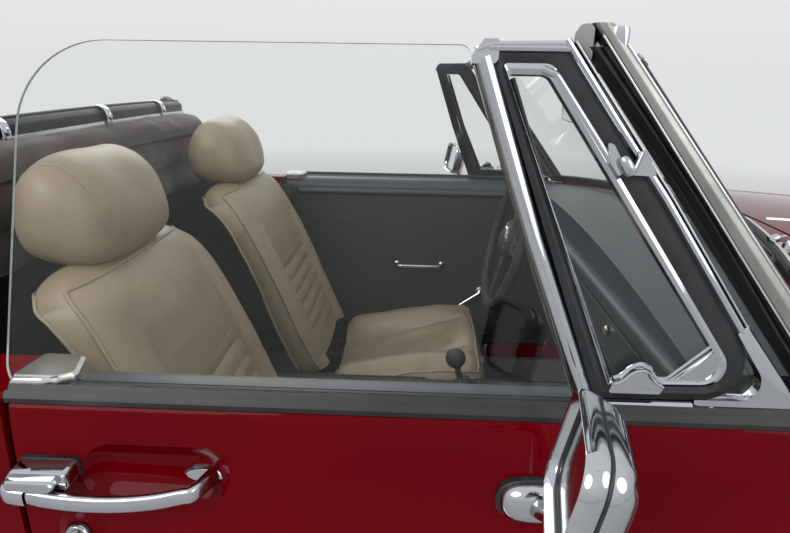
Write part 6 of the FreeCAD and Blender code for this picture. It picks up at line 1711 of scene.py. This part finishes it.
class ROADSTER_OT_cabin_floor(bpy.types.Operator):
    """Gaiters, pedals, bound carpet edges, beads along the tunnel and the trim panels beside the seats"""

    bl_idname = "roadster.cabin_floor"
    bl_label = "Floor and pedals"

    def execute(self, context):
        piece = Piece()
        rings = []
        for k, (r, z) in enumerate(((56, 402), (58, 408), (47, 417), (49, 424), (38, 432), (40, 439),
                                    (29, 447), (30, 453), (17, 462), (12, 472))):
            rings.append(on_plane(oval(r * 1.05, r * 0.9, 32, 2.4), (150 - k * 1.2, 0, z), vec(1, 0, 0),
                                  vec(0, 1, 0)))
        piece.put(loft(rings), VINYL)
        ring = on_plane(oval(64, 56, 36, 2.6), (150, 0, 403), vec(1, 0, 0), vec(0, 1, 0))
        piece.put(tube(ring, 3.4, 10, closed=True), CHROME)
        piece.put(lathe([(0, 24), (9, 23), (18, 18), (23, 8), (24, -2), (20, -13), (11, -21), (7, -26)],
                        (118, 0, 520), (-0.25, 0, 1), 40), VINYL)
        grip = [vec(-30, -50, 448), vec(-25, -50, 449), vec(30, -50, 456), vec(58, -50, 460),
                vec(66, -50, 461)]
        piece.put(tube(grip, 15, 20, scale=[0.7, 0.95, 1.05, 1, 0.6]), VINYL)
        piece.put(tube([vec(64, -50, 461), vec(76, -50, 463)], 6, 16), CHROME)
        for y in (232, 320, 408):
            pad = rounded([(y - 24, 258), (y - 24, 318), (y + 24, 318), (y + 24, 258)], 7, 4)
            tall = 1.0 if y != 232 else 0.82
            face = lambda out, g: np.array([(585 - out + (z - 288) * 0.32, y + (a - y) * g * tall,
                                             288 + (z - 288) * g) for a, z in pad])
            piece.put(loft([face(-4, 1), face(3, 1), face(5, 0.94)]), RUBBER)
            for dz in (-20, -10, 0, 10, 20):
                line = [vec(585 - 5.5 + dz * 0.32, y - 17 * tall, 288 + dz),
                        vec(585 - 5.5 + dz * 0.32, y + 17 * tall, 288 + dz)]
                piece.put(tube(line, 1.6, 6), RUBBER)
            piece.put(tube(flow([vec(594, y, 300), vec(602, y, 380), vec(628, y, 470)], 5), 5.5, 10),
                      "chassis_black")
        for side in (1, -1):
            mat = rounded([(252, 140 * side), (606, 140 * side), (606, 590 * side), (252, 590 * side)], 36, 6)
            sheet = lambda z, g: np.array([(*p, z) for p in shrunk(mat, g)])
            piece.put(loft([sheet(210, 1), sheet(215, 1), sheet(217, 0.985)]), "looped_carpet")
            piece.put(tube(sheet(214, 1.004), 3.2, 8, closed=True), VINYL)
            edge = [vec(-636, 113 * side, 401), vec(470, 113 * side, 401)]
            piece.put(tube(edge, 2.6, 8), VINYL)
            # Trim panel beside the seat, from the floor and the shelf up to the waist.
            panel = rounded([(-638, 211), (-404, 211), (-396, 812), (-866, 812), (-866, 483), (-638, 483)],
                            [4, 20, 16, 30, 4, 4], 4)
            board = lambda y, g: np.array([(-630 + (x + 630) * g, y * side, 600 + (z - 600) * g)
                                           for x, z in panel])
            piece.put(loft([board(606, 1.0), board(601, 1.0), board(599.5, 0.99)]), VINYL)
            seam = rounded([(-620, 250), (-420, 250), (-414, 780), (-620, 780)], 24, 5)
            piece.put(tube(np.array([(x, 599 * side, z) for x, z in seam]), 1.5, 6, closed=True), PADDING)
        piece.make("cabin_floor_trim", "car_body", crease=42)
        return {"FINISHED"}


# Outside


FRONT_AXLE, REAR_AXLE, HALF_TRACK, TYRE_RADIUS = 1257, -1054, 625, 311
CORNERS = [(f"{end}_{name}", x, side) for end, x in (("front", FRONT_AXLE), ("rear", REAR_AXLE))
           for name, side in SIDES]


class ROADSTER_OT_wheels(bpy.types.Operator):
    """Tyres with a grooved tread and ribbed walls, hub caps, rim trims and valves"""

    bl_idname = "roadster.wheels"
    bl_label = "Wheels"

    def execute(self, context):
        _, sizes = settings()
        groove = sizes.tread * 1000
        half = [(66, 178.8), (68, 186), (70, 191.5), (69, 196), (74, 200), (79, 214), (82, 230), (82.4, 246),
                (81, 262), (82, 265), (80.5, 268), (77, 281),
                (73, 290), (66, 300), (60, 305.5), (55, 308)]
        lands = [(50, 309.4), (38, 310.2), (37, 310.2 - groove), (31, 310.2 - groove), (30, 310.6),
                 (14, 311), (13, 311 - groove), (7, 311 - groove), (6, 311),
                 (0, 311)]
        profile = half + lands
        profile = profile + [(-w, r) for w, r in profile[-2::-1]]
        count = 288
        for name, x, side in CORNERS:
            centre = vec(x, HALF_TRACK * side, TYRE_RADIUS)
            tyre = Piece()
            rings = []
            for k in range(count):
                a = 2 * math.pi * k / count
                ring = []
                for w, r in profile:
                    cut = 0.0
                    if r > 302 and (k + (3 if abs(w) < 31 else 0)) % 6 == 0 and abs(w) > 13:
                        cut = groove * 0.75
                    elif r > 309 and abs(w) <= 6 and k % 12 == 6:
                        cut = groove * 0.4
                    slant = a + 0.0011 * abs(w) * (1 if r > 302 else 0)
                    ring.append(centre + vec((r - cut) * math.cos(slant), w, (r - cut) * math.sin(slant)))
                rings.append(ring)
            tyre.put(loft(rings, closed=False, caps=False, cyclic=True), "tyre_rubber")
            tyre.make(f"tyre_tread_{name}", f"wheel_{name}", [f"tyre_{name}"], crease=30)

            trim = Piece()
            out = vec(0, side, 0)
            face = centre + out * 49
            trim.put(lathe([(0, 21.5), (14, 21), (17, 19), (19, 18.5), (46, 15.5), (62, 9), (72, 3.5),
                            (77, 3), (80, 0.8), (80.5, -4)], face, out, 64), CHROME)
            trim.put(lathe([(17.5, 20.4), (19.5, 19.8), (21, 18.4)], face, out, 40), VINYL)
            flange = centre + out * 66
            trim.put(lathe([(160, -16), (166, -4), (172, 0.6), (180, 2.4), (186, 2), (190, -1.4), (189, -3)],
                           flange, out, 96), STAINLESS)
            turn = vec(math.cos(0.4), 0, math.sin(0.4))
            trim.put(tube([centre + out * 48 + turn * 158, centre + out * 62 + turn * 149], 4, 12), NYLON)
            for k in range(8):
                a = math.radians(22.5 + 45 * k)
                spot = centre + vec(math.cos(a), 0, math.sin(a)) * 98 + out * 30
                trim.put(lathe([(0, 6), (5, 5), (6.4, 2), (6.4, -4)], spot, out, 6), STAINLESS)
            trim.make(f"wheel_trim_{name}", f"wheel_{name}", crease=40)
        return {"FINISHED"}


class ROADSTER_OT_lamps(bpy.types.Operator):
    """Headlamps with prisms and reflectors, side lamps and tail lamps on bright plinths"""

    bl_idname = "roadster.lamps"
    bl_label = "Lamps"

    def execute(self, context):
        piece = Piece()
        ahead = vec(1, 0, 0)
        for _, side in SIDES:
            spot = vec(1790, 575 * side, 636)
            rim = [(104, -22), (105, -2), (104, 8), (100, 14), (95, 18), (90, 17), (87.5, 13), (87, 8)]
            piece.put(lathe(rim, spot, ahead, 72), CHROME)
            piece.put(lathe([(88, 10), (88.5, 14), (84, 15), (83, 11)], spot, ahead, 72), RUBBER)
            bowl = [(0, -60), (18, -58), (40, -48), (62, -30), (78, -8), (86, 9)]
            piece.put(lathe(bowl, spot, ahead, 72), "silvered_glass")
            piece.put(lathe([(0, -22), (6, -24), (9, -32), (9, -58)], spot, ahead, 24), "clear_acrylic")
            lens = [(0, 27), (22, 26.2), (44, 23.4), (64, 18.6), (80, 13.2), (86, 10.8)]
            piece.put(lathe(lens, spot, ahead, 96), "pressed_lamp_glass")
            for y in np.arange(-72, 73, 8):
                reach = math.sqrt(max(0, 82 ** 2 - y ** 2))
                line = [vec(1790 + 25.6 - ((y ** 2 + z ** 2) / 86 ** 2) * 16.5, 575 * side + y, 636 + z)
                        for z in np.linspace(-reach, reach, 17)]
                piece.put(tube(line, 0.9, 6), "pressed_lamp_glass")
            piece.put(screw(spot + vec(15, 0, -97), (1, 0, 0), 4), STAINLESS)
        piece.make("headlamp_units", "car_body", ["headlamps"], crease=40)

        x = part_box("side_lamps")[1][0] * 1000
        front = Piece()
        for _, side in SIDES:
            put = lambda part, what: front.put(on_side(part, side), what)
            shape = rounded([(420, 560), (520, 560), (520, 610), (420, 610)], 14, 5)
            swept = np.outer((shape[:, 0] - 420) * 0.06, (1, 0, 0))
            level = lambda at, g: across_x(shape, at, g) - swept
            put(loft([level(x - 52, 1.0), level(x - 13, 1.04), level(x - 9, 1.02), level(x - 8, 0.93)]),
                CHROME)
            put(loft([level(x - 14, 0.92), level(x - 2, 0.92), level(x + 1, 0.84), level(x + 2, 0.5)]),
                "amber_acrylic")
            for y in (440, 500):
                put(screw((x - (y - 420) * 0.06 + 0.6, y, 585), (1, 0, 0), 3.4), STAINLESS)
        front.make("side_lamp_units", "car_body", ["side_lamps"], crease=40)

        (x, _, foot), (_, _, head) = np.array(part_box("tail_lamps")) * 1000
        rear = Piece()
        for _, side in SIDES:
            put = lambda part, what: rear.put(on_side(part, side), what)
            shape = rounded([(500, foot + 2), (582, foot + 2), (582, head - 2), (500, head - 2)], 20, 5)
            level = lambda at, g: across_x(shape, at, g)
            put(loft([level(x + 52, 1.0), level(x + 10, 1.03), level(x + 6, 1.0), level(x + 5, 0.93)]),
                CHROME)
            cuts = [(foot + 6, foot + 50, "red_acrylic"), (foot + 51, head - 46, "red_acrylic"),
                    (head - 45, head - 6, "amber_acrylic")]
            for a, b, what in cuts:
                lens = rounded([(506, a), (576, a), (576, b), (506, b)],
                               [14, 14, 3, 3] if a < foot + 10 else [3, 3, 14, 14] if b > head - 10 else 3, 4)
                caps = ((x + 12, 1.0), (x + 2, 1.0), (x - 1.5, 0.93), (x - 2.5, 0.6))
                put(loft([across_x(lens, at, g) for at, g in caps]), what)
            for z in (foot + 14, head - 14):
                put(screw((x - 1.6, 541, z), (-1, 0, 0), 3.2), STAINLESS)
        rear.make("tail_lamp_units", "car_body", ["tail_lamps"], crease=40)
        return {"FINISHED"}


class ROADSTER_OT_body_trim(bpy.types.Operator):
    """Bright side strips, boot and bonnet fittings, fuel cap, bumper pads and sill strips"""

    bl_idname = "roadster.body_trim"
    bl_label = "Body trim"

    def execute(self, context):
        strips = {"car_body": [], "door_left": [], "door_right": []}
        for name, side in SIDES:
            runs = (("front_wings", 1640, 516, "car_body"), (f"door_{name}", 502, -400, f"door_{name}"),
                    ("rear_body", -370, -1720, "car_body"))
            for node, a, b, body in runs:
                hits = [skin(node, (x, side * 1000, 675), (0, -side, 0), must=False)
                        for x in np.arange(a, b, -10)]
                line = [hit[0] + vec(0, side * 0.3, 0) for hit in hits if hit]
                strips[body].append((np.array(line), side))
        for body, runs in strips.items():
            piece = Piece()
            for line, side in runs:
                shape = [(-1.5, -7), (2.2, -6), (4.2, -2), (4.2, 2), (2.2, 6), (-1.5, 7)]
                piece.put(sweep(line, [(u * side, v) for u, v in shape], normal=UP), STAINLESS)
            if body != "car_body":
                piece.make(f"side_strip_{body}", body, crease=40)
                continue
            # Fuel cap on the tail, with ribs round its edge.
            spot, _ = skin("rear_body", (-2200, -330, 640), (1, 0, 0))
            piece.put(lathe([(0, 26), (18, 25), (30, 21), (34, 14), (35, 6), (40, 4), (41, -3)], spot,
                            (-1, 0, 0), 48), CHROME)
            for k in range(12):
                a = math.pi * k / 6
                rib = spot + vec(-9, 34.6 * math.cos(a), 34.6 * math.sin(a))
                piece.put(tube([rib + vec(-8, 0, 0), rib + vec(6, 0, 0)], 1.6, 6), CHROME)
            piece.make("body_side_trim", "car_body", crease=40)

        for bumper, way in (("bumper_front", 1), ("bumper_rear", -1)):
            pads = Piece()
            for side in (1, -1):
                shape = rounded([(292, 386), (308, 386), (308, 474), (292, 474)], 7, 5)
                level = lambda at, g: across_x(shape, at, g) * vec(way, side, 1)
                pads.put(loft([level(1934, 1), level(1942, 1), level(1942.6, 0.8)]), RUBBER)
            pads.make(f"{bumper}_pads", "car_body")

        lid = Piece()
        spot, normal = skin("boot_lid", (-1748, 0, 1200), (0, 0, -1))
        lid.put(lathe([(0, 15), (10, 14), (13, 11), (14, 4), (22, 3), (24, 0), (24, -4)], spot, normal, 36),
                CHROME)
        for y in (-350, 350):
            rows = [skin("boot_lid", (x, y, 1200), (0, 0, -1))[0] + vec(0, 0, 0.6)
                    for x in (-1100, -1070, -1046)]
            lid.put(sweep(np.array(rows), [(-16, -1), (-15, 2.4), (15, 2.4), (16, -1)], normal=UP), CHROME)
        lid.make("boot_fittings", "boot_lid", crease=40)

        hood = Piece()
        line = np.array([skin("bonnet", (1738, y, 1200), (0, 0, -1))[0] + vec(0, 0, 1)
                         for y in np.linspace(-440, 440, 41)])
        hood.put(sweep(line, [(-6, -1.5), (-4, 3), (0, 4.4), (4, 3), (6, -1.5)], normal=UP), STAINLESS)
        spine = np.array([skin("bonnet", (x, 0, 1200), (0, 0, -1))[0] + vec(0, 0, 0.8)
                          for x in np.linspace(760, 1720, 40)])
        hood.put(sweep(spine, [(-5, -1.4), (-3.4, 2), (0, 3), (3.4, 2), (5, -1.4)], normal=UP), STAINLESS)
        hood.make("bonnet_strips", "bonnet", crease=40)

        for name, side in SIDES:
            sill = Piece()
            rows = [skin("sills_and_door_posts", (x, side * 1000, 214), (0, -side, 0))[0]
                    for x in np.linspace(-330, 480, 24)]
            sill.put(sweep(np.array(rows), [(-1.5 * side, -6), (3 * side, -5), (3.6 * side, 0),
                                            (3 * side, 5), (-1.5 * side, 6)], normal=UP),
                     STAINLESS)
            sill.make(f"sill_strip_{name}", "car_body", crease=40)
        return {"FINISHED"}


class ROADSTER_OT_wiper_blades(bpy.types.Operator):
    """Wiper arms with hinged heads and springy rubber blades"""

    bl_idname = "roadster.wiper_blades"
    bl_label = "Wipers"

    def execute(self, context):
        def front(y, z):
            return vec(bowed_x(y, z) + (screen_at(z)[3] + 6) / 2, y, z)

        piece = Piece()
        off = vec(24, 0, 6)
        for pivot in (-300, 90):
            foot = vec(front(pivot, 882)[0] + 42, pivot, 880)
            piece.put(lathe([(17, -14), (17, -6), (12, -2), (10, 6), (10, 12)], foot, (0.2, 0, 1), 32),
                      RUBBER)
            piece.put(lathe([(0, 33), (7, 32), (10, 28), (10.5, 10)], foot, (0.1, 0, 1), 32), CHROME)
            reach = pivot - 150
            tip = front(reach, 948) + off
            root = foot + vec(0, 0, 24)
            knee = root + (tip - root) * 0.3 + vec(6, 0, 7)
            arm = flow([root, knee, root + (tip - root) * 0.7 + vec(5, 0, 3), tip], 6)
            blade_form = rounded([(-2.6, -6), (-2.6, 6), (2.6, 6), (2.6, -6)], 2, 3)
            piece.put(sweep(arm, blade_form, scale=np.linspace(1.15, 0.6, len(arm))), CHROME)
            spots = [front(reach + d, 943 - abs(d + 20) * 0.02) + off * 0.72
                     for d in np.linspace(-110, 150, 27)]
            line = np.array(spots)
            piece.put(sweep(line, [(-3.4, -2), (-1.5, 3), (1.5, 3), (3.4, -2), (0.8, -7), (-0.8, -7)]),
                      RUBBER)
            piece.put(sweep(line + vec(4, 0, 2.5), [(-2.2, -1.4), (-2.2, 2), (2.2, 2), (2.2, -1.4)]),
                      STAINLESS)
            piece.put(lathe([(0, 8), (4, 7.5), (5.4, 5), (5.4, -6)], tip, (1, 0, 0.4), 20), CHROME)
        piece.make("wiper_sets", "car_body", ["wipers"], crease=40)
        return {"FINISHED"}


class ROADSTER_OT_engine_top(bpy.types.Operator):
    """What shows when the bonnet is up: rocker cover, air cleaners, distributor and its leads"""

    bl_idname = "roadster.engine_top"
    bl_label = "Engine top"

    def execute(self, context):
        piece = Piece()
        base = rounded([(960, -60), (1400, -60), (1400, 60), (960, 60)], 22, 5)
        level = lambda z, g: np.array([(*p, z) for p in shrunk(base, vec(1 - (1 - g) * 0.3, g))])
        piece.put(loft([level(701, 1.08), level(706, 1.08), level(707, 1.0), level(742, 0.94),
                        level(754, 0.84), level(759, 0.6)]), "chassis_black")
        for x in (1060, 1300):
            piece.put(lathe([(0, 16), (9, 15), (11, 8), (16, 6), (17, 0)], (x, 0, 758), (0, 0, 1), 24),
                      CHROME)
        piece.put(lathe([(0, 14), (20, 13), (24, 8), (24, 0)], (1365, 0, 754), (0, 0, 1), 32), NYLON)
        for x in (1080, 1290):
            can = [(0, 46), (40, 45), (47, 41), (49, 36), (48, 12), (50, 6), (46, 2), (0, 0)]
            piece.put(lathe(can, (x, 116, 706), (0, 0, 1), 48), CHROME)
            piece.put(lathe([(49, 30), (50.5, 28), (50.5, 18), (49, 16)], (x, 116, 708), (0, 0, 1), 48),
                      "woven_roof_cloth")
            piece.put(lathe([(0, 6), (7, 5), (8, 0)], (x, 116, 752), (0, 0, 1), 6), STAINLESS)
        cap = (1180, -118, 702)
        piece.put(lathe([(0, 46), (10, 45), (22, 38), (31, 26), (32, 4), (26, 0)], cap, (0, 0, 1), 32), NYLON)
        for k, x in enumerate((1010, 1110, 1250, 1350)):
            a = 2 * math.pi * k / 4 + 0.6
            top = vec(cap[0] + 17 * math.cos(a), cap[1] + 17 * math.sin(a), 744)
            lead = flow([top, top + vec(0, 0, 18), vec((top[0] + x) / 2, -92, 768), vec(x, -82, 744),
                         vec(x, -78, 712)], 8)
            piece.put(tube(lead, 3.6, 8), RUBBER)
            piece.put(tube([top + vec(0, 0, -4), top + vec(0, 0, 12)], 6, 12), RUBBER)
        piece.make("engine_top", "car_body", crease=42)
        return {"FINISHED"}


OPERATORS = (
    ROADSTER_OT_stage, ROADSTER_OT_finishes, ROADSTER_OT_quarter_lights, ROADSTER_OT_doors,
    ROADSTER_OT_handles, ROADSTER_OT_mirrors, ROADSTER_OT_seat_backs, ROADSTER_OT_head_restraints,
    ROADSTER_OT_seat_cushions, ROADSTER_OT_screen_surround, ROADSTER_OT_folded_roof,
    ROADSTER_OT_dashboard, ROADSTER_OT_steering, ROADSTER_OT_cabin_floor, ROADSTER_OT_wheels,
    ROADSTER_OT_lamps, ROADSTER_OT_body_trim, ROADSTER_OT_wiper_blades, ROADSTER_OT_engine_top,
)


class ROADSTER_PT_panel(bpy.types.Panel):
    """The car's settings and the buttons that build each group"""

    bl_idname = "ROADSTER_PT_panel"
    bl_label = "Open Roadster"
    bl_space_type = "VIEW_3D"
    bl_region_type = "UI"
    bl_category = "Roadster"

    def draw(self, context):
        for group in (context.scene.roadster_colours, context.scene.roadster_sizes):
            box = self.layout.box()
            for key in group.__annotations__:
                box.prop(group, key)
        for operator in OPERATORS:
            self.layout.operator(operator.bl_idname)


CLASSES = (RoadsterColours, RoadsterSizes, *OPERATORS, ROADSTER_PT_panel)


def register():
    for one in CLASSES:
        bpy.utils.register_class(one)
    bpy.types.Scene.roadster_colours = PointerProperty(type=RoadsterColours)
    bpy.types.Scene.roadster_sizes = PointerProperty(type=RoadsterSizes)


def unregister():
    del bpy.types.Scene.roadster_sizes
    del bpy.types.Scene.roadster_colours
    for one in reversed(CLASSES):
        bpy.utils.unregister_class(one)


def main():
    register()
    for operator in OPERATORS:
        group, name = operator.bl_idname.split(".")
        getattr(getattr(bpy.ops, group), name)()


if __name__ == "__main__":
    main()
